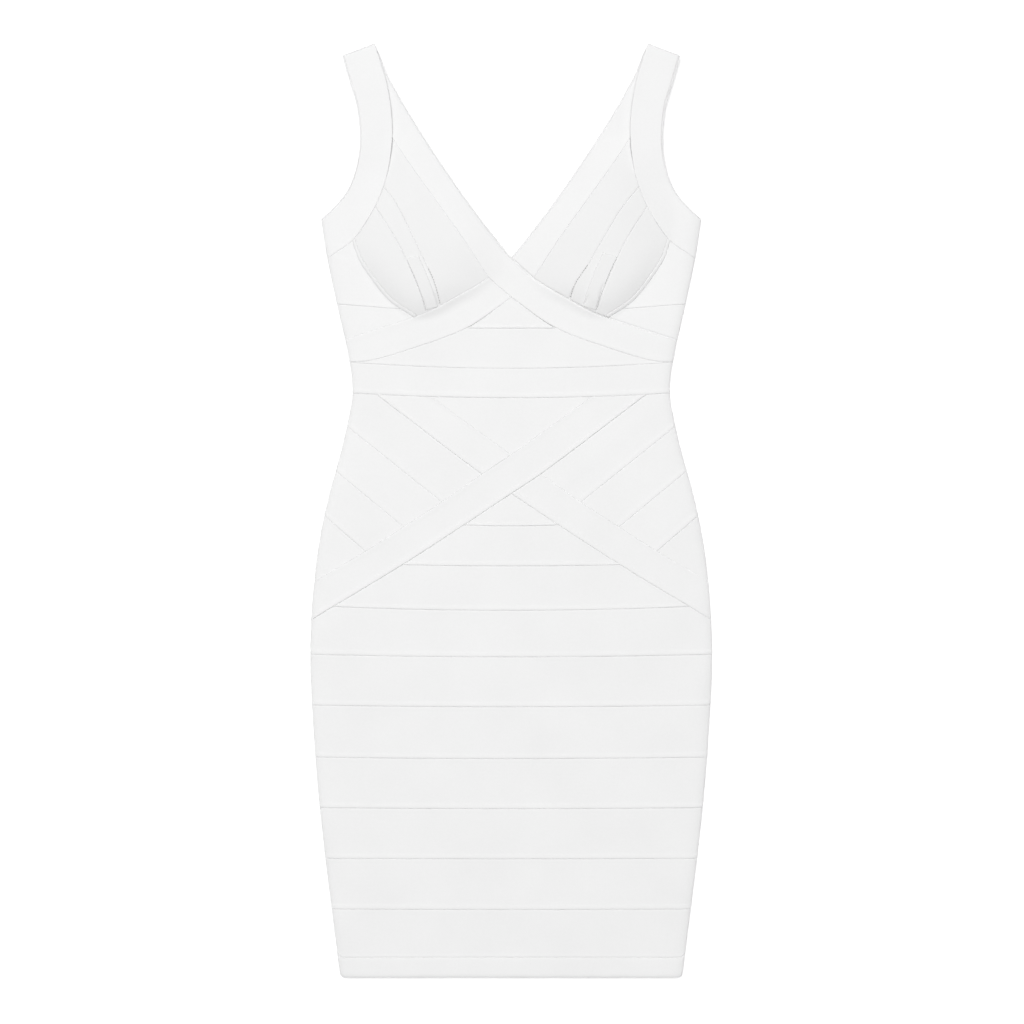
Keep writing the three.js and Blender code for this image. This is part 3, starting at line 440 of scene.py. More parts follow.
def set_back(points, sign):
    return points - np.array([sign * BACK_SETBACK, 0])


neck_tips = {sign: (sign * NECK_SEAM[3][0], NECK_SEAM[3][1]) for _, sign in SIDES}
for name, sign in SIDES:
    seam = seams[name]
    strip(f"back_armhole_band_{name}", set_back(seam["armhole_edge"], sign), seam["armhole_seam"],
          ("free", "join", "plain", "fold"), back_knit, wall=back_wall, under=True,
          end=fold_line(sign, ARMHOLE_EDGE[-1][1], ARMHOLE_SEAM[-1][1], BACK_SETBACK))
    strap_end = (sign * BACK_NECK_TOP[0], BACK_NECK_TOP[1])
    edge = stretch(seam["neckline"], strap_end, NECKLINE[-1] * np.array([sign, 1]))
    neck_foot = joined(stretch(seam["neck_seam"], neck_tips[sign], seam["neck_seam"][-1]),
                       straight(seam["neck_seam"][-1], NECK_CROSSING))
    seam["back_neck_foot"] = neck_foot
    strap_run = stretch(seam["armhole_seam"], strap_end, neck_tips[sign])
    strip(f"back_neck_band_{name}", edge - np.array([0, BACK_NECK_SETBACK]), joined(strap_run, neck_foot),
          ("free", "join", "plain", "plain"), back_knit, wall=back_wall, under=True)


def half_bodice(seam, sign):
    return joined(stretch(seam["armhole_seam"], seam["armhole_seam"][-1], neck_tips[sign]),
                  seam["back_neck_foot"])


bodice_top = joined(half_bodice(left, -1), half_bodice(right, 1)[::-1])
waist_half = WAIST_TOP[2] - BACK_SETBACK
strip("back_bodice", bodice_top, straight((-waist_half, WAIST_TOP[1]), (waist_half, WAIST_TOP[1])),
      ("tuck", "join", "fold", "fold"), back_knit, wall=back_wall, under=True, grain="level",
      step=BACK_CELL,
      start=fold_line(-1, ARMHOLE_SEAM[-1][1], WAIST_TOP[1], BACK_SETBACK),
      end=fold_line(1, ARMHOLE_SEAM[-1][1], WAIST_TOP[1], BACK_SETBACK))

back_heights = [WAIST_TOP[1], WAIST_BOTTOM[1]] + [seam[1] for seam in SKIRT_SEAMS]
back_names = ["back_waistband", "back_hip"] + [f"back_skirt_band_{k}" for k in range(2, 8)]
for k, name in enumerate(back_names):
    upper_y, lower_y = back_heights[k], back_heights[k + 1]
    is_last = k == len(back_names) - 1
    lift_y = HEM_ROUND if is_last else 0
    ends = [fold_line(sign, upper_y, lower_y + lift_y, BACK_SETBACK) for _, sign in SIDES]
    foot = hem_line(ends[1][-1][0], lower_y) if is_last else straight(ends[0][-1], ends[1][-1])
    strip(name, straight(ends[0][0], ends[1][0]), foot,
          ("join", "free" if is_last else "join", "fold", "fold"), back_knit,
          wall=back_wall, under=True, start=ends[0], end=ends[1], step=BACK_CELL)


# The front's cloth: the same knit, over the padded cups. Its face follows the domes, the side folds and
# a few soft creases that pressing left, each uneven in length and depth.
FRONT_FOLD_WIDTH = 12
CREASE_FADE = 14
CREASE_TAPER = 1.5
RIPPLE_HEIGHT = 0.5
UNDER_SHARE = 0.9
CUP_APEX = (92, 240)
CUP_HEIGHT = 9.8
CUP_FOOT_POWER = 1.5

# By direction from the apex in degrees: how flat the dome's top is, and how far the cup reaches
CUP_FLATNESS = [(-36, 4), (0, 3), (30, 2.2), (80, 2), (150, 2), (190, 2.4), (226, 4), (324, 4), (364, 2.9)]
CUP_REACH = [
    (-36, 46), (-13, 50), (4, 57), (19, 68), (45, 90), (80, 122), (110, 118), (135, 106), (180, 90),
    (205, 72), (226, 60), (258, 57), (272, 56), (287, 51), (303, 47), (324, 46), (347, 50), (364, 57),
]

# Creases: from x, y to x, y, half width and height (a trough is negative)
CREASES = [
    (-104, 290, -85, 301, 2.2, 0.35),
    (79, 299, 105, 288, 2.6, 0.45),
    (145, 104, 46, 25, 9, 0.5),
    (-79, 92, -40, 58, 16, 0.7),
    (-174, 249, -160, 245, 1.6, -0.35),
    (-172, 243, -158, 240, 1.4, 0.3),
    (-189, -51, -179, -63.5, 1.1, -1.7),
    (189, -51, 179.5, -60.5, 1.1, -1.5),
    (-72.5, 209, -68, 196.5, 0.9, -1.5),
    (88, 215, 82.3, 194.5, 0.9, -1.5),
    (73.4, 205.7, 71.2, 198.5, 0.8, -1.2),
    (59.7, 212.3, 56.3, 205, 0.8, -1.2),
    (-84.5, 203, -82.5, 193.5, 0.8, -0.9),
]


def dome(x, y):
    """Height of the cup over the flat front: a reach in each direction from the apex."""
    out, up = np.abs(x) - CUP_APEX[0], y - CUP_APEX[1]
    angle = np.degrees(np.arctan2(up, out)) % 360
    rho = np.minimum(np.hypot(out, up) / between(CUP_REACH, angle), 1)
    return CUP_HEIGHT * (1 - rho ** between(CUP_FLATNESS, angle)) ** CUP_FOOT_POWER


def creases(x, y):
    total = RIPPLE_HEIGHT * ripple(x, y)
    for x0, y0, x1, y1, half, height in CREASES:
        run = np.array([x1 - x0, y1 - y0], float)
        size = np.linalg.norm(run)
        along = ((x - x0) * run[0] + (y - y0) * run[1]) / size
        aside = ((x - x0) * run[1] - (y - y0) * run[0]) / size
        past = np.maximum(np.abs(along - size / 2) - size / 2, 0)
        total = total + height * np.exp(-(aside / half) ** 2 - (past / (CREASE_TAPER * half)) ** 2)
    return total


def front_wall(x, y):
    """The front's face and underside, with the domes, the side folds and the creases."""
    probe = 0.5
    slope_x = (dome(x + probe, y) - dome(x - probe, y)) / (2 * probe)
    slope_y = (dome(x, y + probe) - dome(x, y - probe)) / (2 * probe)
    face = FRONT_TOP + dome(x, y)
    inside = np.maximum(face - UNDER_SHARE * WALL * np.sqrt(1 + slope_x ** 2 + slope_y ** 2), FRONT_BOTTOM)
    fade = np.clip((half_width(y) - np.abs(x)) / CREASE_FADE, 0, 1)
    drop = fold_drop(x, y, FRONT_FOLD_WIDTH, FRONT_TOP - LEAST_THICKNESS - TABLE_GAP)
    return face - drop + creases(x, y) * fade, inside


front_knit = knit("steamed_bandage_knit", "#f3f3f3", "#e9e9e9", rib_mm=1.3, rib_depth=0.035,
                  slot="bandage_knit")
cup_knit = knit("smooth_cup_knit", "#efefef", "#e7e7e7", rib_mm=1.1, rib_depth=0.03, slot="cup_knit")


# The skirt: seven level strips, each with a padded lower edge lying on the next one, and a hem turned
# up and stitched through. The strips are sewn through the padding, so each seam sinks between two swells.
HEM_DEPTH = 19.5
EDGES["welt"] = [
    (0, -0.7), (0.08, -0.3), (0.25, 0.12), (0.6, 0.36), (1.2, 0.5), (2.2, 0.57), (3.4, 0.52), (4.2, 0.3),
    (4.9, 0.07), (5.7, 0),
]
EDGES["hem"] = [
    (0, -1.9), (0.25, -1.4), (0.7, -0.9), (1.4, -0.4), (2.2, -0.06), (3.4, 0.16), (5, 0.25), (8, 0.25),
    (14, 0.25), (HEM_DEPTH - 1.1, 0.22), (HEM_DEPTH - 0.5, 0.02), (HEM_DEPTH, -0.35),
    (HEM_DEPTH + 0.5, 0.0), (HEM_DEPTH + 1.2, 0.36), (HEM_DEPTH + 2.2, 0.34), (HEM_DEPTH + 3.4, 0.04),
    (HEM_DEPTH + 4.4, 0),
]
for k in range(1, len(SKIRT_SEAMS)):
    above, below = SKIRT_SEAMS[k - 1], SKIRT_SEAMS[k]
    is_hem = k == len(SKIRT_SEAMS) - 1
    foot = hem_line(below[2], below[1]) if is_hem else level_line(below, -below[2], below[2])
    ends = [fold_line(sign, above[1], foot[0][1]) for _, sign in SIDES]
    strip(f"skirt_band_{k + 1}", level_line(above, -above[2], above[2]), foot,
          ("tuck", "hem" if is_hem else "welt", "fold", "fold"), front_knit, start=ends[0], end=ends[1],
          rests_on=[f"back_skirt_band_{k + 1}"])


# The hip bands cross over the stomach: the one from the right waist to the left hip lies on top, the
# other is in two lengths, above and below the crossing. Level strips fill the place between them.
# An overlap is a thin edge that lies on its neighbour, and a lap a shallow tuck.
EDGES["overlap"] = [(0, -0.35), (0.08, -0.05), (0.25, 0.14), (0.7, 0.27), (1.6, 0.3), (3.2, 0.16), (5.5, 0)]
EDGES["lap"] = [(-1.5, -1.2), (-0.5, -0.8), (-0.1, -0.35), (0.12, -0.1), (0.4, 0), (1.2, 0.03), (2.6, 0)]
CROSS_TOP = [
    (-77.3, 109.7), (0, 54.1), (35, 30.6), (67, 8.1), (104, -15.7), (140.4, -39.1), (179.6, -62.5),
    (189.3, -69.3),
]
CROSS_BOTTOM = [
    (-130, 111.9), (-28.4, 35.2), (0, 16.4), (45.6, -13.9), (104.8, -52.2), (171.4, -92.4), (192.4, -105.1),
]
CROSS_HEAD = (0, 54.1)
CROSS_SIDE = (28.4, 35.2)
CROSS_FOOT = (0, 16.4)
CROSS_LIFT = 0.35
YOKE_INSET = 0.5
CENTRE_SEAMS = [(-14.8, -13.9, 45.6), (-53.4, -52.2, 104.8), (-96.2, -92.4, 171.4)]
for name, sign in SIDES:
    seams[name]["cross_top"] = chain(CROSS_TOP, sign)
    seams[name]["cross_bottom"] = chain(CROSS_BOTTOM, sign)
over_top, over_bottom = left["cross_top"], left["cross_bottom"]
under_top, under_bottom = right["cross_top"], right["cross_bottom"]
hip_ends = {sign: fold_line(sign, CROSS_TOP[-1][1], CROSS_BOTTOM[-1][1]) for _, sign in SIDES}
strip("cross_band_over", over_top, over_bottom, ("overlap", "welt", "tuck", "fold"), front_knit,
      start=level_line(WAIST_BOTTOM, over_top[0][0], over_bottom[0][0]), end=hip_ends[-1],
      lift=CROSS_LIFT, rests_on=["back_hip"])
left_side, right_side = np.array(CROSS_SIDE) * [-1, 1], np.array(CROSS_SIDE)
strip("cross_band_under_upper", stretch(under_top, under_top[0], CROSS_HEAD),
      stretch(under_bottom, under_bottom[0], left_side), ("overlap", "welt", "tuck", "tuck"), front_knit,
      start=level_line(WAIST_BOTTOM, under_top[0][0], under_bottom[0][0]),
      end=stretch(over_top, CROSS_HEAD, left_side), rests_on=["back_hip"])
strip("cross_band_under_lower", stretch(under_top, right_side, under_top[-1]),
      stretch(under_bottom, CROSS_FOOT, under_bottom[-1]), ("overlap", "welt", "tuck", "fold"), front_knit,
      start=stretch(over_bottom, right_side, CROSS_FOOT), end=hip_ends[1], rests_on=["back_hip"])

top_left = stretch(left["cross_bottom"], CROSS_FOOT, (-CENTRE_SEAMS[0][2], CENTRE_SEAMS[0][1]))
top_right = stretch(right["cross_bottom"], CROSS_FOOT, (CENTRE_SEAMS[0][2], CENTRE_SEAMS[0][1]))
strip("centre_band_1", top_left, top_right, ("tuck", "tuck", "plain", "welt"), front_knit, grain="level",
      end=level_line(CENTRE_SEAMS[0], top_left[-1][0], top_right[-1][0]), rests_on=["back_hip"])
for k in (1, 2):
    above, below = CENTRE_SEAMS[k - 1], CENTRE_SEAMS[k]
    flanks = [stretch(seams[name]["cross_bottom"], (sign * above[2], above[1]), (sign * below[2], below[1]))
              for name, sign in SIDES]
    strip(f"centre_band_{k + 1}", level_line(above, flanks[0][0][0], flanks[1][0][0]),
          level_line(below, flanks[0][-1][0], flanks[1][-1][0]), ("tuck", "welt", "tuck", "tuck"),
          front_knit, start=flanks[0], end=flanks[1], rests_on=["back_hip"])

above, below = CENTRE_SEAMS[-1], SKIRT_SEAMS[0]
band_feet = [stretch(seams[name]["cross_bottom"], (sign * above[2], above[1]),
                     seams[name]["cross_bottom"][-1]) for name, sign in SIDES]
upper = joined(band_feet[0][::-1], level_line(above, band_feet[0][0][0], band_feet[1][0][0]), band_feet[1])
strip("skirt_band_1", upper, level_line(below, -below[2], below[2]), ("tuck", "welt", "fold", "fold"),
      front_knit, start=fold_line(-1, CROSS_BOTTOM[-1][1], below[1]),
      end=fold_line(1, CROSS_BOTTOM[-1][1], below[1]), rests_on=["back_hip"])

yoke_half = -CROSS_TOP[0][0] - YOKE_INSET
yoke_sides = [stretch(seams[name]["cross_top"], (-sign * yoke_half, level(WAIST_BOTTOM, yoke_half)),
                      CROSS_HEAD) for name, sign in SIDES[::-1]]
yoke_foot = joined(yoke_sides[0], yoke_sides[1][::-1])
yoke_head = np.column_stack([yoke_foot[:, 0], level(WAIST_BOTTOM, yoke_foot[:, 0])])
strip("yoke_triangle", yoke_head, yoke_foot, ("tuck", "lap", "plain", "plain"), front_knit,
      grain="level", rests_on=["back_hip"])


# Four diagonal strips on each hip, each with a padded lower edge, run from the side fold down to the
# hip band and are caught under its edge. Their lower edges are softer than the skirt's.
EDGES["soft"] = [
    (0, -0.45), (0.08, -0.12), (0.25, 0.14), (0.6, 0.31), (1.2, 0.4), (2.2, 0.44), (3.4, 0.36), (4.2, 0.2),
    (5.0, 0.05), (5.7, 0),
]
DIAGONAL_SEAMS = [(81.1, 67.0), (38.2, 104.0), (-4.8, 140.4)]
HIP_FOLD_TIP = (188.2, -68.5)
HIP_FOLD_END = -66.5
for name, sign in SIDES:
    own_top = seams[name]["cross_top"]
    opposite = seams["right" if name == "left" else "left"]["cross_bottom"]
    lines = [straight((sign * half_width(side_y), side_y), (sign * cross_x, between(CROSS_TOP, cross_x)))
             for side_y, cross_x in DIAGONAL_SEAMS]
    corner = (sign * WAIST_BOTTOM[2], WAIST_BOTTOM[1])
    inner_end = (sign * CROSS_SIDE[0], CROSS_SIDE[1])
    upper = joined(level_line(WAIST_BOTTOM, corner[0], opposite[0][0]),
                   stretch(opposite, opposite[0], inner_end))
    strip(f"diagonal_band_1_{name}", upper, lines[0], ("tuck", "soft", "fold", "lap"), front_knit,
          start=fold_line(sign, corner[1], DIAGONAL_SEAMS[0][0]),
          end=stretch(own_top, inner_end, lines[0][-1]), rests_on=["back_hip"])
    for k in (1, 2):
        strip(f"diagonal_band_{k + 1}_{name}", lines[k - 1], lines[k], ("lap", "soft", "fold", "lap"),
              front_knit, start=fold_line(sign, DIAGONAL_SEAMS[k - 1][0], DIAGONAL_SEAMS[k][0]),
              end=stretch(own_top, lines[k - 1][-1], lines[k][-1]), rests_on=["back_hip"])
    hip_tip = (sign * HIP_FOLD_TIP[0], HIP_FOLD_TIP[1])
    strip(f"diagonal_band_4_{name}", stretch(own_top, lines[-1][-1], hip_tip),
          fold_line(sign, DIAGONAL_SEAMS[-1][0], HIP_FOLD_END), ("lap", "fold", "tuck", "plain"),
          front_knit, start=lines[-1][::-1], rests_on=["back_hip"])


# The waistband and the midriff: a straight band at the waist, and two fillers between it and the bands
# that run under the cups.
UNDERBUST_TOP = [(0, 244.2), (21.9, 224.4), (56.6, 203.6), (81.6, 190.5), (92.2, 186.9), (159.9, 164.8)]
UNDERBUST_BOTTOM = [(0, 205.5), (42.5, 176.4), (92, 157.4), (137, 144.4), (155.6, 143.4)]
MIDRIFF_SEAM = (175.6, 175.6, 42)
MIDRIFF_END = (155, 143.4)
for name, sign in SIDES:
    seams[name]["underbust_top"] = chain(UNDERBUST_TOP, sign)
    seams[name]["underbust_bottom"] = chain(UNDERBUST_BOTTOM, sign)
strip("waistband", level_line(WAIST_TOP, -WAIST_TOP[2], WAIST_TOP[2]),
      level_line(WAIST_BOTTOM, -WAIST_BOTTOM[2], WAIST_BOTTOM[2]), ("tuck", "welt", "fold", "fold"),
      front_knit, start=fold_line(-1, WAIST_TOP[1], WAIST_BOTTOM[1]),
      end=fold_line(1, WAIST_TOP[1], WAIST_BOTTOM[1]), rests_on=["back_waistband"])
midriff_edges = [stretch(seams[name]["underbust_bottom"], NECK_CROSSING,
                         (sign * MIDRIFF_SEAM[2], MIDRIFF_SEAM[0])) for name, sign in SIDES]
strip("midriff_upper", *midriff_edges, ("tuck", "tuck", "plain", "welt"), front_knit, grain="level",
      end=level_line(MIDRIFF_SEAM, midriff_edges[0][-1][0], midriff_edges[1][-1][0]),
      rests_on=["back_bodice"])
midriff_sides = [stretch(seams[name]["underbust_bottom"], (sign * MIDRIFF_END[0], MIDRIFF_END[1]),
                         edge[-1]) for (name, sign), edge in zip(SIDES, midriff_edges)]
upper = joined(midriff_sides[0], level_line(MIDRIFF_SEAM, midriff_sides[0][-1][0], midriff_sides[1][-1][0]),
               midriff_sides[1][::-1])
strip("midriff_lower", upper, np.column_stack([upper[:, 0], level(WAIST_TOP, upper[:, 0])]),
      ("tuck", "overlap", "plain", "plain"), front_knit, grain="level", rests_on=["back_bodice"])


# The cups: three shaped pieces over a moulded pad, a corded piping round the outside, and a short
# casing tab over the lower end of the middle strip.
CUP_TIP = ((114.4, 358.6), (114.6, 358.6))  # on the neck seam and on the armhole seam
CUP_INNER_SEAM = {
    "left": [(122.9, 311.6), (112.3, 298.1), (87.2, 248.1), (74.0, 219.2), (68.2, 197.4)],
    "right": [(122.9, 311.6), (106.3, 291), (88.4, 261.6), (74.8, 238), (60.5, 216), (56.6, 203.6)],
}
CUP_OUTER_SEAM = [(130.8, 292.8), (111.0, 261.2), (99.1, 237.5), (88.0, 211), (81.6, 190.5)]
CUP_PIPING = [(151.9, 261.2), (146.2, 244), (137.4, 229.5), (116.3, 203.1), (92.2, 186.9)]
PIPING_WIDTH = 3.4
CUP_CELL = 3
TRIM_CELL = 2.5
EDGES["seat"] = [(0, -0.25), (0.2, -0.08), (0.6, 0.02), (1.6, 0)]
EDGES["piped"] = [(0, -0.3), (0.12, 0.02), (0.4, 0.3), (0.9, 0.5), (1.7, 0.58)]

# The casing tab: its start as a share of the outer seam, and its width
TAB = {"left": (0.52, 11.4), "right": (0.5, 13.5)}
TAB_END = 0.975
TAB_SETBACK = 0.4
TAB_SLOPE = 0.28
TAB_RAISE = 1.0
TAB_GAP = 0.05
EDGES["tab"] = [(0, -0.7), (0.15, -0.3), (0.5, -0.05), (1.1, 0.05), (2.2, 0)]


def beside(points, distance):
    """A chain moved sideways; a positive distance moves it to the left of its direction."""
    padded = np.vstack([points[:1], points, points[-1:]])
    along = padded[2:] - padded[:-2]
    along /= np.linalg.norm(along, axis=1)[:, None]
    return points + distance * np.column_stack([-along[:, 1], along[:, 0]])


def meeting(points, start_seam, end_seam):
    """A chain cut or lengthened to start on one seam and end on another."""
    found = []
    for other in (start_seam, end_seam):
        gaps = ((points[:, None] - other[None]) ** 2).sum(axis=2)
        k, m = np.unravel_index(int(np.argmin(gaps)), gaps.shape)
        found.append((k, other[m]))
    (k0, first), (k1, last) = found
    return np.vstack([first, points[k0 + 1:k1], last])


def tab_wall(x, y):
    """The casing tab lies on the cup's face."""
    face, _ = front_wall(x, y)
    return face + TAB_RAISE, face + TAB_GAP


for name, sign in SIDES:
    seam = seams[name]
    armhole, underbust = seam["armhole_seam"], seam["underbust_top"]
    inner_seam, outer_seam = chain(CUP_INNER_SEAM[name], sign), chain(CUP_OUTER_SEAM, sign)
    piping = chain(CUP_PIPING, sign)
    seam["inner_seam"], seam["outer_seam"] = inner_seam, outer_seam
    edges = [meeting(beside(piping, side * PIPING_WIDTH / 2), armhole, underbust) for side in (1, -1)]
    middle = outer_seam[len(outer_seam) // 2]
    edges.sort(key=lambda edge: np.linalg.norm(edge[len(edge) // 2] - middle))
    inside_edge, outside_edge = edges
    seam["piping_outside"] = outside_edge
    tips = [(sign * x, y) for x, y in CUP_TIP]
    strip(f"cup_inner_{name}", stretch(seam["neck_seam"], tips[0], seam["neck_seam"][-1]),
          joined(stretch(armhole, tips[1], inner_seam[0]), inner_seam), ("lap", "join", "tuck", "lap"),
          cup_knit, end=stretch(underbust, seam["neck_seam"][-1], inner_seam[-1]),
          rests_on=["back_bodice"], step=CUP_CELL)
    strip(f"cup_strip_{name}", inner_seam, outer_seam, ("join", "join", "tuck", "lap"), cup_knit,
          start=stretch(armhole, inner_seam[0], outer_seam[0]),
          end=stretch(underbust, inner_seam[-1], outer_seam[-1]), rests_on=["back_bodice"], step=CUP_CELL)
    strip(f"cup_outer_{name}", outer_seam, inside_edge, ("join", "seat", "tuck", "lap"), cup_knit,
          start=stretch(armhole, outer_seam[0], inside_edge[0]),
          end=stretch(underbust, outer_seam[-1], inside_edge[-1]), rests_on=["back_bodice"], step=CUP_CELL)
    strip(f"cup_piping_{name}", inside_edge, outside_edge, ("piped", "piped", "plain", "plain"), cup_knit,
          rests_on=[f"cup_outer_{name}"], step=TRIM_CELL)
    start, width = TAB[name]
    tab_outer = placed(outer_seam, np.linspace(start, TAB_END, 90)) - np.array([sign * TAB_SETBACK, 0])
    tab_inner = tab_outer + np.array([-sign * width, width * TAB_SLOPE])
    strip(f"cup_tab_{name}", tab_inner, tab_outer, ("tab", "tab", "tab", "plain"), cup_knit,
          wall=tab_wall, rests_on=[f"cup_strip_{name}"], step=TRIM_CELL)


# The side panels between the cups and the side folds, in two lengths joined by a level seam. Each is cut
# on the level and caught under the piping, the armhole band and the band under the cup.
SIDE_SEAM_AT_CUP = (107.5, 193.8)
SIDE_SEAM_Y = 199.1
for name, sign in SIDES:
    seam = seams[name]
    outside = seam["piping_outside"]
    split = (sign * SIDE_SEAM_AT_CUP[0], SIDE_SEAM_AT_CUP[1])
    upper_piping, lower_piping = stretch(outside, outside[0], split), stretch(outside, split, outside[-1])
    strip(f"side_upper_{name}", upper_piping, fold_line(sign, ARMHOLE_SEAM[-1][1], SIDE_SEAM_Y),
          ("seat", "fold", "tuck", "overlap"), front_knit, grain="level",
          start=stretch(seam["armhole_seam"], outside[0], seam["armhole_seam"][-1]),
          rests_on=["back_bodice"])
    side_seam = straight(upper_piping[-1], (sign * half_width(SIDE_SEAM_Y), SIDE_SEAM_Y))
    band_top = stretch(seam["underbust_top"], outside[-1], seam["underbust_top"][-1])
    strip(f"side_lower_{name}", side_seam, band_top, ("tuck", "lap", "join", "fold"), front_knit,
          grain="level", start=lower_piping, end=fold_line(sign, SIDE_SEAM_Y, UNDERBUST_TOP[-1][1]),
          rests_on=["back_bodice"])


# The bands that frame the bodice: one runs from the left strap down the neckline and under the right
# cup, lying over the right neck band, and the band under the left cup starts beneath it.
overlap_edge = joined(left["neck_seam"], right["underbust_bottom"])
strip("neck_band_over", joined(left["neckline"], right["underbust_top"]), overlap_edge,
      ("free", "overlap", "plain", "fold"), front_knit, lift=0.15, rests_on=["back_neck_band_left"])
strip("neck_band_right", right["neckline"], right["neck_seam"], ("free", "overlap", "plain", "tuck"),
      front_knit, rests_on=["back_neck_band_right"])
strip("underbust_band_left", stretch(left["underbust_top"], left["neck_seam"][-1], left["underbust_top"][-1]),
      left["underbust_bottom"], ("overlap", "overlap", "tuck", "fold"), front_knit,
      start=stretch(overlap_edge, left["neck_seam"][-1], NECK_CROSSING), rests_on=["back_bodice"])


# The armhole bands make the outer half of each strap. Below the strap they lie level with the bodice,
# and further up they climb onto the neck band, where their inner edge stands open over it.
STRAP_CLIMB = (312, 352)


def strap_wall(x, y):
    face, inside = front_wall(x, y)
    t = np.clip((y - STRAP_CLIMB[0]) / (STRAP_CLIMB[1] - STRAP_CLIMB[0]), 0, 1)
    climb = t * t * (3 - 2 * t) * (WALL + LAYER_GAP)
    return face + climb, inside + climb


for name, sign in SIDES:
    seam = seams[name]
    strip(f"armhole_band_{name}", seam["armhole_edge"], seam["armhole_seam"],
          ("free", "overlap", "free", "fold"), front_knit, wall=strap_wall,
          end=fold_line(sign, ARMHOLE_EDGE[-1][1], ARMHOLE_SEAM[-1][1]),
          rests_on=["neck_band_over" if sign < 0 else "neck_band_right"])


# Stitches: a stretch coverstitch through the hem, and short straight stitches beside the casing tabs.
# Polyester thread, drawn at 0.5 mm, a little thicker than real, so that it shows at this distance. The
# stitches beside the tabs are drawn in grey thread, which is painted shade along their seams.
HEM_STITCH_INSET = 5
HEM_SWAYS = [(0.18, 3.1), (0.15, 7.7)]
TWISTS_PER_METRE = 2600.0

# Stitches beside a cup seam: where they start and end as shares of it, and their distance from it
SEAM_STITCHES = {"inner_seam": (0.72, 0.98, 0.1), "outer_seam": (0.6, 0.97, 0.5)}


def stitch_tree():
    tree = bpy.data.node_groups.new("stitch_row", "GeometryNodeTree")
    tree.interface.new_socket("Geometry", in_out="INPUT", socket_type="NodeSocketGeometry")
    sizes = {"Pitch": 3.0, "Stitch Length": 2.3, "Thread Width": 0.55}
    for key, value in sizes.items():
        socket = tree.interface.new_socket(key, in_out="INPUT", socket_type="NodeSocketFloat")
        socket.default_value = value * MM
    tree.interface.new_socket("Thread", in_out="INPUT", socket_type="NodeSocketMaterial")
    tree.interface.new_socket("Geometry", in_out="OUTPUT", socket_type="NodeSocketGeometry")
    given = add(tree, "NodeGroupInput")
    path = add(tree, "GeometryNodeMeshToCurve", {}, Mesh=(given, "Geometry"))
    spots = add(tree, "GeometryNodeResampleCurve", {"mode": "LENGTH"}, Curve=(path, "Curve"),
                Length=(given, "Pitch"))
    loop = add(tree, "GeometryNodeMeshUVSphere", {}, Segments=8, Rings=5, Radius=0.5)
    size = add(tree, "ShaderNodeCombineXYZ", {}, X=(given, "Stitch Length"), Y=(given, "Thread Width"),
               Z=(given, "Thread Width"))
    tangent = add(tree, "GeometryNodeInputTangent")
    turn = add(tree, "FunctionNodeAlignRotationToVector", {"axis": "X"}, Vector=(tangent, "Tangent"))
    sway = add(tree, "FunctionNodeRandomValue", {"data_type": "FLOAT"}, i2=-0.16, i3=0.16, Seed=7)
    swing = add(tree, "ShaderNodeCombineXYZ", {}, Z=(sway, 1))
    swung = add(tree, "FunctionNodeRotateRotation", {"rotation_space": "LOCAL"}, Rotation=(turn, "Rotation"),
                Rotate_By=(swing, "Vector"))
    made = add(tree, "GeometryNodeInstanceOnPoints", {}, Points=(spots, "Curve"), Instance=(loop, "Mesh"),
               Rotation=(swung, "Rotation"), Scale=(size, "Vector"))
    real = add(tree, "GeometryNodeRealizeInstances", {}, Geometry=(made, "Instances"))
    smooth = add(tree, "GeometryNodeSetShadeSmooth", {}, Geometry=(real, "Geometry"))
    done = add(tree, "GeometryNodeSetMaterial", {}, Geometry=(smooth, 0), Material=(given, "Thread"))
    add(tree, "NodeGroupOutput", {}, Geometry=(done, "Geometry"))
    return tree


def thread_finish(name, colour):
    material = bpy.data.materials.new(name)
    material.use_nodes = True
    tree = material.node_tree
    tree.nodes.clear()
    place = add(tree, "ShaderNodeTexCoord")
    twist = add(tree, "ShaderNodeTexNoise", {}, Vector=(place, "Object"), Scale=TWISTS_PER_METRE,
                Detail=2.0)
    bump = add(tree, "ShaderNodeBump", {}, Strength=0.4, Distance=0.05 * MM, Height=(twist, "Fac"))
    shader = add(tree, "ShaderNodeBsdfPrincipled", {}, Base_Color=srgb(colour), Roughness=0.6,
                 Normal=(bump, "Normal"))
    add(tree, "ShaderNodeOutputMaterial", {}, Surface=(shader, "BSDF"))
    return material


stitches = stitch_tree()
white_thread = thread_finish("spun_white_thread", "#eeeeec")
# The grey thread is painted shade: it draws the dark dashes of shade along the stitched cup seams of a white
# dress.
painted_shade_thread = thread_finish("grey_thread_for_painted_shade", "#a9a9a6")


def stitch_row(name, rows, thread, height, pitch, size, width=0.5):
    """Stitches along plan chains, lying on the cloth's face."""
    points, lines = [], []
    for row in rows:
        count = max(2, ceil(length_of(row) / 2))
        spots = placed(row, np.linspace(0, 1, count))
        face, _ = front_wall(spots[:, 0], spots[:, 1])
        first = len(points)
        points += np.column_stack([spots, face + height]).tolist()
        lines += [(first + k, first + k + 1) for k in range(count - 1)]
    mesh = bpy.data.meshes.new(name)
    mesh.from_pydata((np.array(points) * MM).tolist(), lines, [])
    holder = bpy.data.objects.new(name + "_path", mesh)
    bpy.context.collection.objects.link(holder)
    modifier = holder.modifiers.new("stitches", "NODES")
    modifier.node_group = stitches
    names = {item.name: item.identifier for item in stitches.interface.items_tree
             if item.item_type == "SOCKET" and item.in_out == "INPUT"}
    modifier[names["Pitch"]] = pitch * MM
    modifier[names["Stitch Length"]] = size * MM
    modifier[names["Thread Width"]] = width * MM
    modifier[names["Thread"]] = thread
    graph = bpy.context.evaluated_depsgraph_get()
    made = bpy.data.meshes.new_from_object(holder.evaluated_get(graph))
    made.name = name
    piece = bpy.data.objects.new(name, made)
    bpy.context.collection.objects.link(piece)
    bpy.data.objects.remove(holder)
    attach(piece, "root")


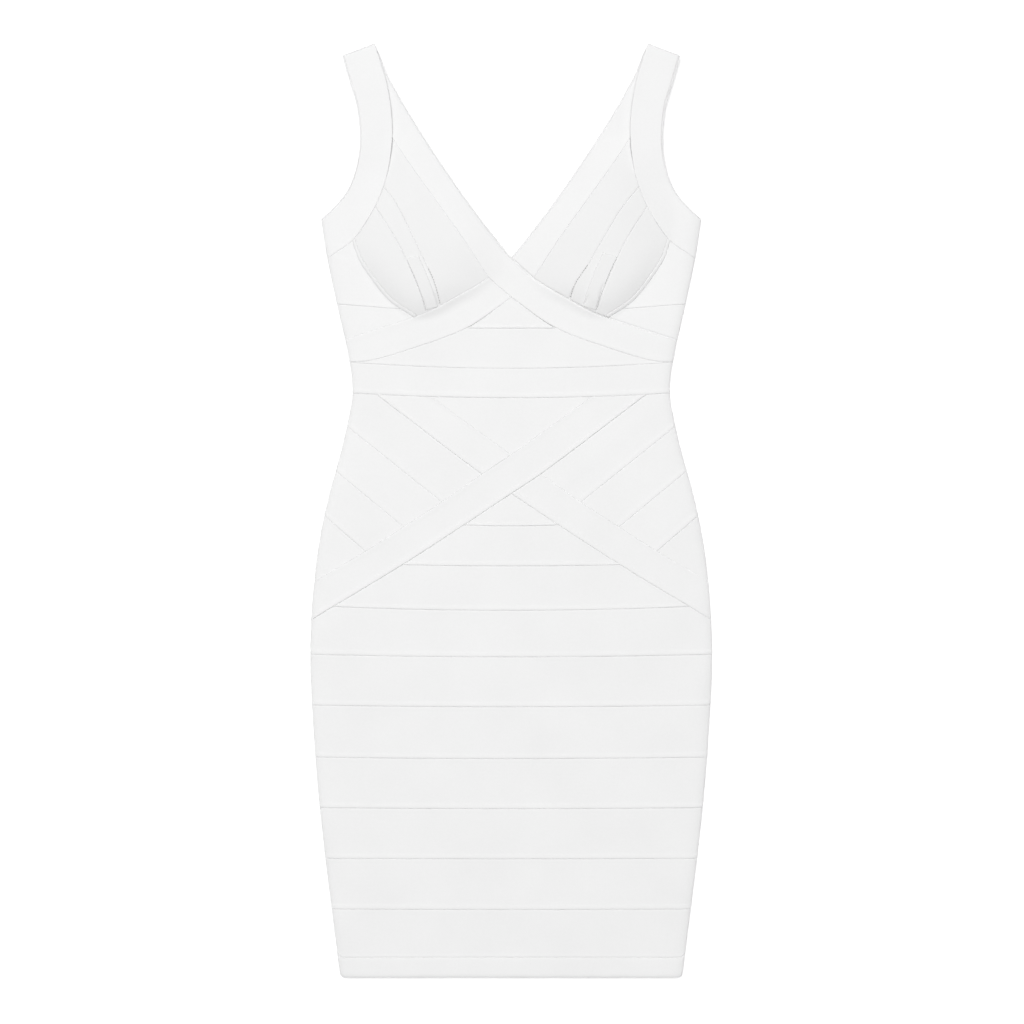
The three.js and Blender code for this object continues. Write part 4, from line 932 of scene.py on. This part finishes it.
hem_y = SKIRT_SEAMS[-1][0] + HEM_DEPTH
hem_half = float(half_width(hem_y)) - HEM_STITCH_INSET
hem_x = np.linspace(-hem_half, hem_half, 260)
hem_path = np.column_stack([hem_x, hem_y + sum(sway * np.sin(hem_x / wave) for sway, wave in HEM_SWAYS)])
stitch_row("hem_stitches", [hem_path], white_thread, height=-0.32, pitch=3.2, size=2.6)
for name, sign in SIDES:
    rows = [placed(seams[name][key], np.linspace(first, last, 40)) - np.array([sign * aside, 0])
            for key, (first, last, aside) in SEAM_STITCHES.items()]
    # These stitches use the grey thread, which is painted shade along the cup seams.
    stitch_row(f"cup_stitches_{name}", rows, painted_shade_thread, height=0.1, pitch=2.6, size=1.9)


# The table top under the dress, plain and pale, the soft light over it, and the camera straight above.
# One broad light stands beyond the shoulders, and the sky is brightest overhead.
TABLE_REACH = 40.0
TABLE_DROP = 0.0004
TABLE_GRAIN_PER_METRE = 300.0
SKY_EDGE = 0.2
SKY_PEAK = 1.54
FRAME_WIDTH = 0.986
EYE_SHIFT = (0.0007, -0.0013)
table_corners = [(x * TABLE_REACH, y * TABLE_REACH, 0) for x, y in ((-1, -1), (1, -1), (1, 1), (-1, 1))]
table_mesh = bpy.data.meshes.new("table_top")
table_mesh.from_pydata(table_corners, [], [(0, 1, 2, 3)])
table_top = bpy.data.objects.new("table_top", table_mesh)
table_top.location.z = -TABLE_DROP
bpy.context.collection.objects.link(table_top)
matt_white = bpy.data.materials.new("matt_white_table")
matt_white.use_nodes = True
tree = matt_white.node_tree
tree.nodes.clear()
place = add(tree, "ShaderNodeTexCoord")
grain = add(tree, "ShaderNodeTexNoise", {}, Vector=(place, "Object"), Scale=TABLE_GRAIN_PER_METRE)
bump = add(tree, "ShaderNodeBump", {}, Strength=0.1, Distance=0.0001, Height=(grain, "Fac"))
shader = add(tree, "ShaderNodeBsdfPrincipled", {}, Base_Color=srgb("#ffffff"), Roughness=0.9,
             Normal=(bump, "Normal"))
shader.inputs["Emission Color"].default_value = srgb("#ffffff")
shader.inputs["Emission Strength"].default_value = 0.12
add(tree, "ShaderNodeOutputMaterial", {}, Surface=(shader, "BSDF"))
table_mesh.materials.append(matt_white)

scene = bpy.context.scene
scene.view_settings.view_transform = "Standard"
world = bpy.data.worlds.new("overhead_sky")
world.use_nodes = True
scene.world = world
sky = world.node_tree
way = add(sky, "ShaderNodeTexCoord")
parts = add(sky, "ShaderNodeSeparateXYZ", {}, Vector=(way, "Generated"))
up = add(sky, "ShaderNodeMath", {"operation": "MAXIMUM"}, i0=(parts, "Z"), i1=0.0)
peak = add(sky, "ShaderNodeMath", {"operation": "POWER"}, i0=(up, "Value"), i1=3.0)
glow = add(sky, "ShaderNodeMath", {"operation": "MULTIPLY_ADD"}, i0=(peak, "Value"), i1=SKY_PEAK,
           i2=SKY_EDGE)
sky.nodes["Background"].inputs["Color"].default_value = srgb("#ffffff")
sky.links.new(glow.outputs["Value"], sky.nodes["Background"].inputs["Strength"])


def soft_light(name, place, aim, size, power):
    lamp = bpy.data.lights.new(name, "AREA")
    lamp.shape = "SQUARE"
    lamp.size = size
    lamp.energy = power
    holder = bpy.data.objects.new(name, lamp)
    bpy.context.collection.objects.link(holder)
    holder.location = place
    holder.rotation_euler = Vector(np.array(aim) - np.array(place)).to_track_quat("-Z", "Y").to_euler()


soft_light("broad_light", place=(-0.8, 1.95, 3.3), aim=(0, 0, 0), size=1.4, power=42)

camera = bpy.data.cameras.new("camera")
camera.lens = 100
camera.sensor_width = 36
eye = bpy.data.objects.new("camera", camera)
bpy.context.collection.objects.link(eye)
eye.location = (*EYE_SHIFT, FRAME_WIDTH * camera.lens / camera.sensor_width + FRONT_TOP * MM)
scene.camera = eye
